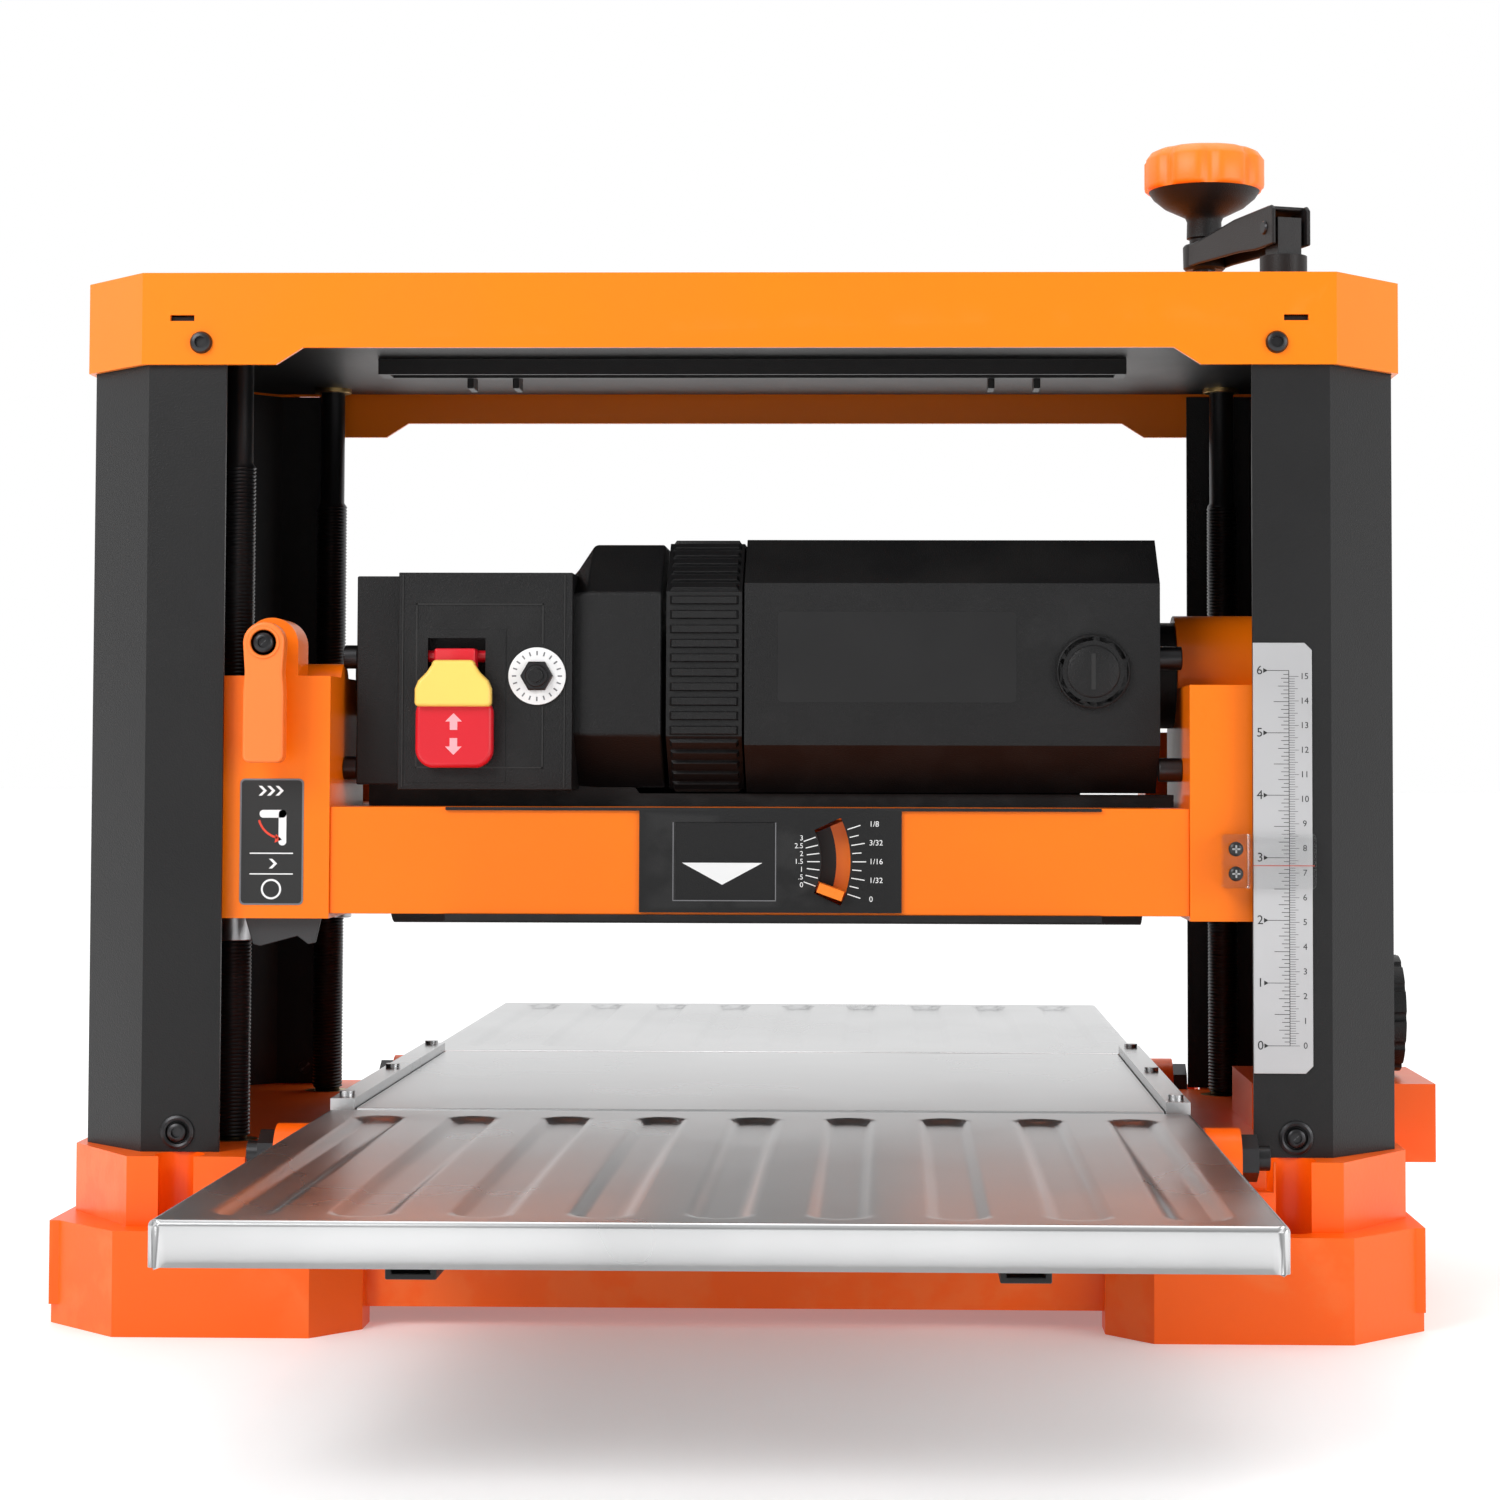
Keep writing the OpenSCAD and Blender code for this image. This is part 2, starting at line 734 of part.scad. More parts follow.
brush_x = 148;
brush_r = 8;
cap_r = 15.5;
casing_bore = 45;
vent_pitch = 5.5;
armature_r = 6;
rotor_bearing_r = 11;
rotor_pulley_r = 10;
head_pulley_r = 15;
pulley_x = [200, 214];
collar_x = [-32, 2];
box_x = [-143, -70];

module motor_housing() {
    color(plastic) difference() {
        union() {
            casing([collar_x[1], 170], 0, casing_bore);
            run_x([170, 176]) motor_section(0);
            bar_x(23, [176, right_in], motor_y, motor_z);
        }
        bar_x(armature_r + 0.05, [168, right_in + 1], motor_y, motor_z);
        for (y = [[-115, -90], [-22, 5]]) bar_y(brush_r + 0.05, brush_x, y, motor_z);
    }
}

module vent_collar() {
    color(plastic) {
        casing(collar_x, 0.5, casing_bore);
        for (i = [0 : 11]) {
            low = motor_z - 30 + i * vent_pitch;
            block([collar_x[0] + 1, collar_x[1] - 1],
                [motor_y - motor_front - 1.2, motor_y - motor_front + 1], [low, low + 2.5]);
        }
    }
}

module commutator_housing() color(plastic) casing([box_x[1], collar_x[0]], 2, casing_bore);

box_front = -115;
paddle_x = [-134.5, -102.5];
paddle_pin = [-110, 274];
breaker_xz = [-84.6, 265.6];
pin_r = 2.5;
nut_bore = 5;
button_r = 3;

module switch_box() {
    color(plastic) difference() {
        block(box_x, [box_front, -4], [motor_z - 50, motor_z + 41]);
        block([box_x[0] + 3, box_x[1] - 3], [box_front + 14, -8], [motor_z - 46, motor_z + 37]);
        bar_x(armature_r + 1, [box_x[0] - 2, box_x[1] + 1], motor_y, motor_z);
        block([paddle_x[0] - 1, paddle_x[1] + 1], [box_front - 1, box_front + 9.5], [225, 283]);
        block([paddle_x[0] - 4, paddle_x[1] + 4], [box_front - 1, box_front + 1.5], [222, 284]);
        bar_x(pin_r + 0.05, [paddle_x[0] - 4, paddle_x[1] + 4], paddle_pin[0], paddle_pin[1]);
        bar_y(nut_bore, breaker_xz[0], [box_front - 1, box_front + 15], breaker_xz[1]);
    }
}

module motor_end_cap() {
    color(plastic) difference() {
        union() {
            block([-162, box_x[0]], [motor_y - 50, motor_y + 48], [motor_z - 48, motor_z + 40]);
            bar_x(18, [left_in, -162], motor_y, motor_z);
        }
        bar_x(rotor_bearing_r + 0.05, [-158, -142], motor_y, motor_z);
    }
}

module motor_rods() {
    color([0.3, 0.3, 0.31])
        for (z = [motor_z - 41, motor_z + 6]) {
            bar_x(5, [left_in, -162], -100, z);
            bar_x(5, [176, right_in], -100, z);
        }
}

module motor_rotor() {
    color(steel) {
        bar_x(armature_r, [-150, 216], motor_y, motor_z);
        bar_x(rotor_bearing_r, [-156, -147], motor_y, motor_z);
        bar_x(38, [20, 118], motor_y, motor_z);
        bar_x(18, [126, 166], motor_y, motor_z);
        bar_x(41, [-24, -8], motor_y, motor_z);
        bar_x(rotor_pulley_r, pulley_x, motor_y, motor_z);
    }
}

module brush_holders() {
    color(black) {
        bar_y(brush_r, brush_x, [-112, -74.3], motor_z);
        bar_y(cap_r, brush_x, [-114, -111], motor_z);
        bar_y(brush_r, brush_x, [-37.7, 0], motor_z);
        bar_y(cap_r, brush_x, [-1, 2], motor_z);
    }
}

module switch_paddle() {
    color([0.85, 0.05, 0.08]) difference() {
        union() {
            block(paddle_x, [box_front - 8, box_front + 1], [227, 278]);
            block([paddle_x[0] + 6, paddle_x[1] - 6], [box_front, box_front + 6], [264, 280]);
            bar_x(pin_r, [paddle_x[0] - 3.5, paddle_x[1] + 3.5], paddle_pin[0], paddle_pin[1]);
        }
        block([paddle_x[0] + 4, paddle_x[1] - 4], [box_front - 9, box_front - 2], [250, 270]);
    }
}

module switch_key() {
    color([1, 0.85, 0.25]) {
        block([paddle_x[0] + 4, paddle_x[1] - 4], [box_front - 12, box_front - 2], [250, 270]);
    }
}

module breaker_body() {
    color([0.85, 0.85, 0.86]) difference() {
        union() {
            bar_y(10.9, breaker_xz[0], [box_front - 1.2, box_front], breaker_xz[1]);
            bar_y(nut_bore, breaker_xz[0], [box_front - 1.2, box_front + 22], breaker_xz[1]);
            translate([breaker_xz[0], box_front - 1, breaker_xz[1]]) rotate([90, 0, 0])
                cylinder(r = 7, h = 3.5, $fn = 6);
        }
        bar_y(button_r + 0.05, breaker_xz[0], [box_front - 6, box_front + 18], breaker_xz[1]);
    }
}

module breaker_button() {
    color(black) bar_y(button_r, breaker_xz[0], [box_front - 9, box_front + 12], breaker_xz[1]);
}

// Outline round both pulleys, standing off from them
module belt_outline(off) {
    hull() {
        translate([head_y, head_z]) circle(r = head_pulley_r + off);
        translate([motor_y, motor_z]) circle(r = rotor_pulley_r + off);
    }
}

module drive_belt() {
    color([0.1, 0.1, 0.1]) run_x([pulley_x[0] + 1, pulley_x[1] - 1]) difference() {
        belt_outline(2.3);
        belt_outline(0.3);
    }
}

// ---- Cutterhead and feed ----

module knife_shape(r) block([bed_l_edge + 1, bed_r_edge - 1], [-1.5, 1.5], [head_r - 14, r]);

module cutterhead() {
    color(steel) difference() {
        union() {
            bar_x(head_r - 2, [bed_l_edge, bed_r_edge], head_y, head_z);
            bar_x(head_shaft_r, [-206, 216], head_y, head_z);
            bar_x(head_pulley_r, pulley_x, head_y, head_z);
            translate([-206, head_y, head_z]) rotate([0, 90, 0]) toothed(12, 12, 12);
        }
        for (i = [1 : knife_n])
            translate([0, head_y, head_z]) rotate([i * 360 / knife_n, 0, 0]) knife_shape(head_r + 2);
    }
}

module knives() {
    color([0.85, 0.86, 0.88])
        for (i = [1 : knife_n])
            translate([0, head_y, head_z]) rotate([i * 360 / knife_n, 0, 0]) knife_shape(head_r);
}

module cutter_bearings() {
    color(steel)
        for (x = wall_x)
            difference() {
                bar_x(bearing_r, x, head_y, head_z);
                bar_x(head_shaft_r + 0.05, [x[0] - 1, x[1] + 1], head_y, head_z);
            }
}

module feed_roller(y) {
    color([0.25, 0.25, 0.26]) {
        bar_x(roller_r, [bed_l_edge + 4, bed_r_edge - 4], y, roller_z);
        bar_x(roller_shaft_r, [-223, 193], y, roller_z);
        translate([-222, y, roller_z]) rotate([0, 90, 0]) toothed(9.6, 6, 9, 1.6);
    }
}

module infeed_roller() feed_roller(head_y - roller_dy);
module outfeed_roller() feed_roller(head_y + roller_dy);

module roller_blocks() {
    color([0.72, 0.6, 0.3])
        for (x = wall_x)
            for (y = [head_y - roller_dy, head_y + roller_dy])
                difference() {
                    bar_x(block_r, x, y, roller_z);
                    bar_x(roller_shaft_r + 0.05, [x[0] - 1, x[1] + 1], y, roller_z);
                }
}

// Outline round both roller sprockets
module feed_outline(r) {
    hull() for (y = [head_y - roller_dy, head_y + roller_dy]) translate([y, roller_z]) circle(r = r);
}

module feed_chain() {
    color([0.3, 0.3, 0.3]) run_x([-222, -216]) difference() {
        feed_outline(12.6);
        feed_outline(10.2);
    }
}

rod_y = -91;
rod_z = beam_top - 8;
rod_r = 3.5;
pawl_n = 13;
pawl_pitch = 24;

module kickback_rod() {
    color(steel) bar_x(rod_r, [left_in, right_in], rod_y, rod_z);
}

module kickback_pawls() {
    color([0.4, 0.4, 0.42])
        for (i = [0 : pawl_n - 1]) {
            x = bed_x + (i - (pawl_n - 1) / 2) * pawl_pitch;
            difference() {
                union() {
                    bar_x(5.2, [x - 5, x + 5], rod_y, rod_z);
                    block([x - 5, x + 5], [rod_y - 3, rod_y + 2], [cut_z + 6, rod_z]);
                }
                bar_x(rod_r + 0.05, [x - 6, x + 6], rod_y, rod_z);
            }
        }
}

port_x = 90;
port_z = beam_top + 51;
port_r = 50;
port_end = 160;
hood_x = [-100, 150];
hood_y = [10, 128];
hood_top = beam_top + 78;

module dust_hood() {
    color(black) difference() {
        union() {
            block(hood_x, hood_y, [beam_top, hood_top]);
            bar_y(port_r, port_x, [hood_y[1], port_end], port_z);
        }
        inside_x = [hood_x[0] + sheet, hood_x[1] - sheet];
        block(inside_x, [hood_y[0] + sheet, hood_y[1] - sheet], [beam_top + sheet, hood_top - sheet]);
        block(inside_x, [hood_y[0] + sheet, 70], [beam_top - 1, beam_top + sheet + 1]);
        bar_y(port_r - sheet, port_x, [hood_y[1] - 8, port_end + 1], port_z);
    }
}

module cord_gland() {
    x = -120;
    z = 250;
    color(black) difference() {
        union() {
            bar_y(11, x, [-4, 0], z);
            bar_y(8, x, [-1, 14], z);
        }
        bar_y(4, x, [-5, 15], z);
    }
}

// ---- Nodes ----

base_casting();
bed_plate();
bed_guides();
left_column();
right_column();
top_cover();
top_plate();
cover_screws();
column_bolts();
foot_pads();
depth_scale();
hinge_bolts();
screw_bushes();
lift_chain();
depth_stop_dial();
infeed_table();
outfeed_table();
front_left_screw();
rear_left_screw();
rear_right_screw();
front_right_screw();
crank_hub();
crank_arm();
crank_knob();
gearbox_casting();
belt_casting();
front_beam();
rear_beam();
lift_nuts();
gearbox_cover();
belt_cover();
gauge_plate();
gauge_pointer();
scale_lens();
speed_lever();
motor_housing();
vent_collar();
commutator_housing();
switch_box();
motor_end_cap();
motor_rods();
motor_rotor();
brush_holders();
switch_paddle();
switch_key();
breaker_body();
breaker_button();
drive_belt();
cutterhead();
knives();
cutter_bearings();
infeed_roller();
outfeed_roller();
roller_blocks();
feed_chain();
kickback_rod();
kickback_pawls();
dust_hood();
tool_clips();
cord_gland();
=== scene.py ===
# %% [markdown]
# # Thickness planer
# The working model arrives as a fixed frame: every node already sits where it belongs. This lesson
# dresses that frame, one piece or finish at a time, and never moves a working part.

# %% Load the frame
import json
import math

import bmesh
import bpy
from mathutils import Matrix, Vector


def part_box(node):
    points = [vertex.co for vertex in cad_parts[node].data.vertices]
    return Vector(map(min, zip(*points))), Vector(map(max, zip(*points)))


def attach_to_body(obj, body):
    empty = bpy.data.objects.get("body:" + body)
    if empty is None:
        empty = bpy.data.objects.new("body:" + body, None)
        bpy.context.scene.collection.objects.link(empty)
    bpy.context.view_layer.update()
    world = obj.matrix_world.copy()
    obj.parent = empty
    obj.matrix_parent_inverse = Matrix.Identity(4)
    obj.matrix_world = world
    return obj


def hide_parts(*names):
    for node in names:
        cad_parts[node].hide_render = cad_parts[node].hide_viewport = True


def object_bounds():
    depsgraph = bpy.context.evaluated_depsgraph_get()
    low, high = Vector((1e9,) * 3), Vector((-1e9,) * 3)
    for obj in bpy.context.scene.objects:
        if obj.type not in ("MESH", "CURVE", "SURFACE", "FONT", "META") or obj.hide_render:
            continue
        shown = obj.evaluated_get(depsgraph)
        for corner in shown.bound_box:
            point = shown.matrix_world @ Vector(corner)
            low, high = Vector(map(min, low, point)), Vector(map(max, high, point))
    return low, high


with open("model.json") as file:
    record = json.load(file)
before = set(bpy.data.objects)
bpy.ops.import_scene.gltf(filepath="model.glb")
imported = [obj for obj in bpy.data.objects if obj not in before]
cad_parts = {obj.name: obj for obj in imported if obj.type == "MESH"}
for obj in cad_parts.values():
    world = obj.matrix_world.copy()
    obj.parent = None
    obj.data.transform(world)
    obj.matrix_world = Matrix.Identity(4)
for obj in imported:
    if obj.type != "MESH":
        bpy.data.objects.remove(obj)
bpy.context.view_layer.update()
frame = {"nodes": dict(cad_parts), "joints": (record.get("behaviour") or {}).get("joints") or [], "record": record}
nodes = frame["nodes"]
body_of = {n: b for b, members in frame["record"]["behaviour"]["bodies"].items() for n in members}
slot_of = {s["node"]: s["material_slot"] for s in frame["record"]["subparts"]}
MM = 0.001
INCH = 25.4

# %% [markdown]
# ## Camera, light and floor
# A studio shot of a tool uses a long lens, a white sweep and large soft boxes. The camera stands a
# little right of the middle and low, looking slightly up, so both table and top cover show. Its
# shift places the tool in the frame the way a view camera would, which keeps the columns upright.

# %% Camera
cam_data = bpy.data.cameras.new("camera")
cam_data.sensor_width = 36.0
cam_data.lens = 75.476
cam_data.shift_x = -0.0435
cam_data.shift_y = -0.0734
camera = bpy.data.objects.new("camera", cam_data)
bpy.context.scene.collection.objects.link(camera)
bpy.context.scene.camera = camera
look = Vector((-0.023087, 0.998897, 0.040887))
right = Vector((0.999732, 0.023001, 0.002566))
up = Vector((-0.001623, -0.040935, 0.999160))
turn = Matrix((right, up, -look)).transposed().to_4x4()
camera_place = (0.06216, -1.42838, 0.2272)
camera.matrix_world = Matrix.Translation(camera_place) @ turn
print("camera lens", cam_data.lens)


# %% Soft boxes
def soft_box(name, place, target, size, power):
    """A square area light that faces a point."""
    data = bpy.data.lights.new(name, "AREA")
    data.size = size
    data.energy = power
    lamp = bpy.data.objects.new(name, data)
    bpy.context.scene.collection.objects.link(lamp)
    lamp.location = place
    lamp.rotation_euler = (Vector(target) - Vector(place)).to_track_quat("-Z", "Y").to_euler()


middle = (0, 0, 0.22)
soft_box("key_box", (-1.3, -1.7, 1.5), middle, 1.1, 30)
soft_box("fill_box", (1.7, -1.4, 0.7), middle, 0.9, 13)
soft_box("top_box", (0.1, 0.3, 2.2), middle, 1.4, 9)

print("soft boxes: key, fill and top")

# %% [markdown]
# ## The room and the floor
# Polished steel shows whatever stands round it, so an evenly lit room would leave it flat. The
# room's brightness follows direction instead: full behind the tool, dim in front, and a little
# brighter overhead. Two small node helpers build that fade, and the finishes use them later.

# %% Node helpers
def math_node(tree, how, a, b=None):
    """A math node whose inputs are sockets or numbers; returns its output."""
    node = tree.nodes.new("ShaderNodeMath")
    node.operation = how
    for i, value in enumerate([a, b]):
        if value is None:
            continue
        if isinstance(value, (int, float)):
            node.inputs[i].default_value = value
        else:
            tree.links.new(value, node.inputs[i])
    return node.outputs[0]


def ramp(tree, value, low, high, first=0.0, last=1.0):
    """Stretches the span low..high of a value smoothly to first..last."""
    node = tree.nodes.new("ShaderNodeMapRange")
    node.interpolation_type = "SMOOTHSTEP"
    node.inputs["From Min"].default_value = low
    node.inputs["From Max"].default_value = high
    node.inputs["To Min"].default_value = first
    node.inputs["To Max"].default_value = last
    tree.links.new(value, node.inputs["Value"])
    return node.outputs["Result"]


print("node helpers: math_node, ramp")

# %% Studio world
world = bpy.data.worlds.new("studio")
world.use_nodes = True
sky = world.node_tree
facing = sky.nodes.new("ShaderNodeTexCoord")
split = sky.nodes.new("ShaderNodeSeparateXYZ")
sky.links.new(facing.outputs["Generated"], split.inputs["Vector"])
behind = ramp(sky, split.outputs["Y"], -0.55, 0.45, 0.42, 1.0)
overhead = ramp(sky, split.outputs["Z"], 0.4, 0.95, 0.0, 0.25)
background = sky.nodes["Background"]
sky.links.new(math_node(sky, "ADD", behind, overhead), background.inputs["Strength"])
background.inputs["Color"].default_value = (1, 1, 1, 1)
bpy.context.scene.world = world
bpy.context.scene.view_settings.view_transform = "Standard"
print("world:", world.name)


# %% Floor
def new_object(name, mesh):
    """Links a mesh to the scene under a name."""
    piece = bpy.data.objects.new(name, mesh)
    bpy.context.scene.collection.objects.link(piece)
    return piece


def mesh_piece(name, points, faces):
    """An object from a list of points and a list of faces."""
    mesh = bpy.data.meshes.new(name)
    mesh.from_pydata(points, [], faces)
    mesh.update()
    return new_object(name, mesh)


floor_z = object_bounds()[0][2]
floor_reach = 30.0
floor_corners = [(x * floor_reach, y * floor_reach, floor_z)
                 for x, y in ((-1, -1), (1, -1), (1, 1), (-1, 1))]
floor = mesh_piece("floor", floor_corners, [(0, 1, 2, 3)])
print("floor at", round(floor_z, 4))

# %% [markdown]
# ## Shader groups
# Every finish here wears in the same few ways: paint thins on edges, powder coat has a fine grain,
# sheet steel carries rolling lines, and flat tops gather dust. Each effect is one node group with
# its own inputs, so each material can set how strong it is. Groups give out masks and heights only;
# the shader itself stays in the material.

# %% Group helper
def start_group(name, inputs, outputs):
    """A new shader node group with named float sockets; returns the tree and its end nodes."""
    tree = bpy.data.node_groups.new(name, "ShaderNodeTree")
    for label, value in inputs:
        socket = tree.interface.new_socket(name=label, in_out="INPUT",
                                           socket_type="NodeSocketFloat")
        socket.default_value = value
    for label in outputs:
        tree.interface.new_socket(name=label, in_out="OUTPUT", socket_type="NodeSocketFloat")
    return tree, tree.nodes.new("NodeGroupInput"), tree.nodes.new("NodeGroupOutput")


def noise(tree, scale, detail=3.0, stretch=(1, 1, 1)):
    """Noise over the object's own space, scale per metre."""
    place = tree.nodes.new("ShaderNodeTexCoord")
    mapping = tree.nodes.new("ShaderNodeMapping")
    mapping.inputs["Scale"].default_value = stretch
    tree.links.new(place.outputs["Object"], mapping.inputs["Vector"])
    node = tree.nodes.new("ShaderNodeTexNoise")
    node.inputs["Detail"].default_value = detail
    tree.links.new(mapping.outputs["Vector"], node.inputs["Vector"])
    if isinstance(scale, (int, float)):
        node.inputs["Scale"].default_value = scale
    else:
        tree.links.new(scale, node.inputs["Scale"])
    return node.outputs["Fac"]


print("group helpers: start_group, noise")


# %% Edge wear, grain, rolling lines and dust
def make_edge_wear():
    """A patchy mask along outer edges."""
    tree, start, end = start_group("edge_wear", [("Amount", 0.5), ("Patch Scale", 60.0)], ["Mask"])
    shape = tree.nodes.new("ShaderNodeNewGeometry")
    edge = ramp(tree, shape.outputs["Pointiness"], 0.56, 0.66)
    patch = ramp(tree, noise(tree, start.outputs["Patch Scale"], 4.0), 0.42, 0.62)
    worn = math_node(tree, "MULTIPLY", edge, patch)
    tree.links.new(math_node(tree, "MULTIPLY", worn, start.outputs["Amount"]), end.inputs["Mask"])
    return tree


def make_grain():
    """Fine powder-coat grain and a slow change of tone."""
    tree, start, end = start_group("fine_grain", [("Scale", 900.0)], ["Height", "Tone"])
    fine = noise(tree, start.outputs["Scale"], 2.0)
    broad = noise(tree, 14.0, 3.0)
    tree.links.new(fine, end.inputs["Height"])
    tree.links.new(broad, end.inputs["Tone"])
    return tree


def make_rolling():
    """Lines left by rolling, drawn out along one axis."""
    tree, start, end = start_group("rolling_lines", [("Scale", 60.0)], ["Height", "Tone"])
    lines = noise(tree, start.outputs["Scale"], 4.0, (1, 40, 1))
    blotch = noise(tree, 9.0, 3.0)
    tree.links.new(lines, end.inputs["Height"])
    tree.links.new(blotch, end.inputs["Tone"])
    return tree


def make_dust():
    """A patchy mask on faces that look up."""
    tree, start, end = start_group("dust_film", [("Amount", 0.3)], ["Mask"])
    shape = tree.nodes.new("ShaderNodeNewGeometry")
    split = tree.nodes.new("ShaderNodeSeparateXYZ")
    tree.links.new(shape.outputs["Normal"], split.inputs["Vector"])
    facing = ramp(tree, split.outputs["Z"], 0.6, 1.0)
    patch = ramp(tree, noise(tree, 22.0, 5.0), 0.35, 0.75)
    film = math_node(tree, "MULTIPLY", facing, patch)
    tree.links.new(math_node(tree, "MULTIPLY", film, start.outputs["Amount"]), end.inputs["Mask"])
    return tree


GROUPS = {"wear": make_edge_wear(), "grain": make_grain(), "rolling": make_rolling(),
          "dust": make_dust()}
print("groups:", ", ".join(g.name for g in GROUPS.values()))

# %% [markdown]
# ## Finishes
# One recipe builds each finish: two close tones mixed by a slow noise, a worn colour on the edges,
# a thin film of dust on top, and a bump from the grain or the rolling lines. What is the same all
# over, such as metalness and coat, is set on the shader itself.

# %% Mixing colours and placing groups
def mix_colour(tree, mask, a, b):
    """A colour between a and b, each a socket or a plain colour."""
    node = tree.nodes.new("ShaderNodeMix")
    node.data_type = "RGBA"
    tree.links.new(mask, node.inputs["Factor"])
    for socket, value in ((node.inputs[6], a), (node.inputs[7], b)):
        if isinstance(value, tuple):
            socket.default_value = (*value, 1.0)
        else:
            tree.links.new(value, socket)
    return node.outputs[2]


def use_group(tree, key, **values):
    """Places one of the shader groups in a material with its own values."""
    node = tree.nodes.new("ShaderNodeGroup")
    node.node_tree = GROUPS[key]
    for label, value in values.items():
        node.inputs[label.replace("_", " ")].default_value = value
    return node


print("material helpers: mix_colour, use_group")

# %% Finish recipe
FINISH = {}


def finish(name, colour, second, rough, metal=0.0, texture="grain", scale=900.0, depth=0.1,
           wear=0.4, worn=(0.5, 0.5, 0.5), dust=0.15, coat=0.0, shine=0.5):
    """Adds a procedural material to FINISH: two tones, edge wear, dust and a fine bump."""
    mat = bpy.data.materials.new(name)
    mat.use_nodes = True
    tree = mat.node_tree
    shader = tree.nodes["Principled BSDF"]
    shader.inputs["Metallic"].default_value = metal
    shader.inputs["Coat Weight"].default_value = coat
    shader.inputs["Specular IOR Level"].default_value = shine
    shader.inputs["Coat Roughness"].default_value = 0.12
    surface = use_group(tree, texture, Scale=scale)
    tone = ramp(tree, surface.outputs["Tone"], 0.3, 0.7)
    base = mix_colour(tree, tone, colour, second)
    edge = use_group(tree, "wear", Amount=wear)
    base = mix_colour(tree, edge.outputs["Mask"], base, worn)
    film = use_group(tree, "dust", Amount=dust)
    base = mix_colour(tree, film.outputs["Mask"], base, (0.62, 0.56, 0.48))
    tree.links.new(base, shader.inputs["Base Color"])
    varied = math_node(tree, "MULTIPLY", surface.outputs["Tone"], 0.16)
    tree.links.new(math_node(tree, "ADD", varied, rough - 0.08), shader.inputs["Roughness"])
    bump = tree.nodes.new("ShaderNodeBump")
    bump.inputs["Strength"].default_value = depth
    bump.inputs["Distance"].default_value = 0.0004
    tree.links.new(surface.outputs["Height"], bump.inputs["Height"])
    tree.links.new(bump.outputs["Normal"], shader.inputs["Normal"])
    FINISH[name] = mat
    return mat


def plain_floor():
    """A matt white sweep that glows a little, as a lit paper floor does."""
    mat = finish("white_sweep", (0.94, 0.94, 0.94), (0.95, 0.95, 0.95), 0.6, depth=0.0, wear=0.0,
                 dust=0.0)
    shader = mat.node_tree.nodes["Principled BSDF"]
    shader.inputs["Emission Color"].default_value = (1, 1, 1, 1)
    shader.inputs["Emission Strength"].default_value = 0.2
    return mat


print("finish recipe ready")

# %% The finishes of this tool
finish("orange_paint", (1.0, 0.215, 0.0), (0.985, 0.208, 0.0), 0.35, scale=700, depth=0.05,
       wear=0.12, worn=(0.95, 0.36, 0.1), dust=0.01, coat=0.15, shine=0.3)
finish("cast_orange", (1.0, 0.125, 0.0), (0.975, 0.119, 0.0), 0.4, scale=420, depth=0.16, wear=0.15,
       worn=(0.95, 0.32, 0.1), dust=0.01, coat=0.12, shine=0.3)
finish("beam_orange", (1.0, 0.19, 0.0), (0.985, 0.18, 0.0), 0.38, scale=420, depth=0.12, wear=0.12,
       worn=(0.95, 0.34, 0.1), dust=0.01, coat=0.12, shine=0.3)
finish("black_paint", (0.01, 0.01, 0.0105), (0.0115, 0.0115, 0.012), 0.42, scale=1500, depth=0.35,
       wear=0.2, worn=(0.06, 0.06, 0.06), dust=0.02, shine=0.28)
finish("stainless", (0.5, 0.505, 0.51), (0.6, 0.605, 0.61), 0.29, metal=1.0, texture="rolling",
       depth=0.05, wear=0.3, worn=(0.7, 0.7, 0.71), dust=0.02)
finish("black_steel", (0.035, 0.035, 0.037), (0.05, 0.05, 0.052), 0.34, metal=0.9, scale=800,
       depth=0.1, wear=0.5, worn=(0.3, 0.3, 0.31), dust=0.02)
finish("bright_steel", (0.4, 0.4, 0.41), (0.5, 0.5, 0.51), 0.3, metal=1.0, scale=600, depth=0.1,
       wear=0.3, worn=(0.8, 0.8, 0.8), dust=0.03)
finish("bronze", (0.45, 0.3, 0.12), (0.52, 0.36, 0.16), 0.35, metal=1.0, depth=0.1,
       worn=(0.75, 0.6, 0.35))
finish("rubber", (0.018, 0.018, 0.018), (0.028, 0.028, 0.028), 0.75, scale=1200, depth=0.3,
       wear=0.1, worn=(0.08, 0.08, 0.08))
finish("black_plastic", (0.007, 0.007, 0.0075), (0.0085, 0.0085, 0.009), 0.42, scale=1700,
       depth=0.6, wear=0.1, worn=(0.04, 0.04, 0.04), dust=0.02, shine=0.28)
finish("satin_black", (0.01, 0.01, 0.0105), (0.012, 0.012, 0.0125), 0.3, scale=900, depth=0.02,
       wear=0.1, worn=(0.04, 0.04, 0.04), dust=0.02, shine=0.4)
finish("orange_plastic", (1.0, 0.225, 0.005), (0.98, 0.215, 0.005), 0.4, scale=900, depth=0.12,
       wear=0.15, worn=(1.0, 0.4, 0.15), dust=0.02)
finish("salmon_plastic", (1.0, 0.21, 0.03), (0.97, 0.2, 0.028), 0.4, scale=900, depth=0.1,
       wear=0.15, worn=(1.0, 0.45, 0.25), dust=0.02)
finish("red_plastic", (0.72, 0.006, 0.02), (0.66, 0.006, 0.018), 0.32, depth=0.05, wear=0.1,
       worn=(0.8, 0.2, 0.2), dust=0.02)
finish("yellow_plastic", (1.0, 0.7, 0.14), (0.98, 0.64, 0.13), 0.32, depth=0.05, wear=0.1,
       worn=(1, 0.8, 0.5), dust=0.02)
finish("nickel", (0.35, 0.35, 0.36), (0.42, 0.42, 0.43), 0.28, metal=0.9, depth=0.05, dust=0.0)
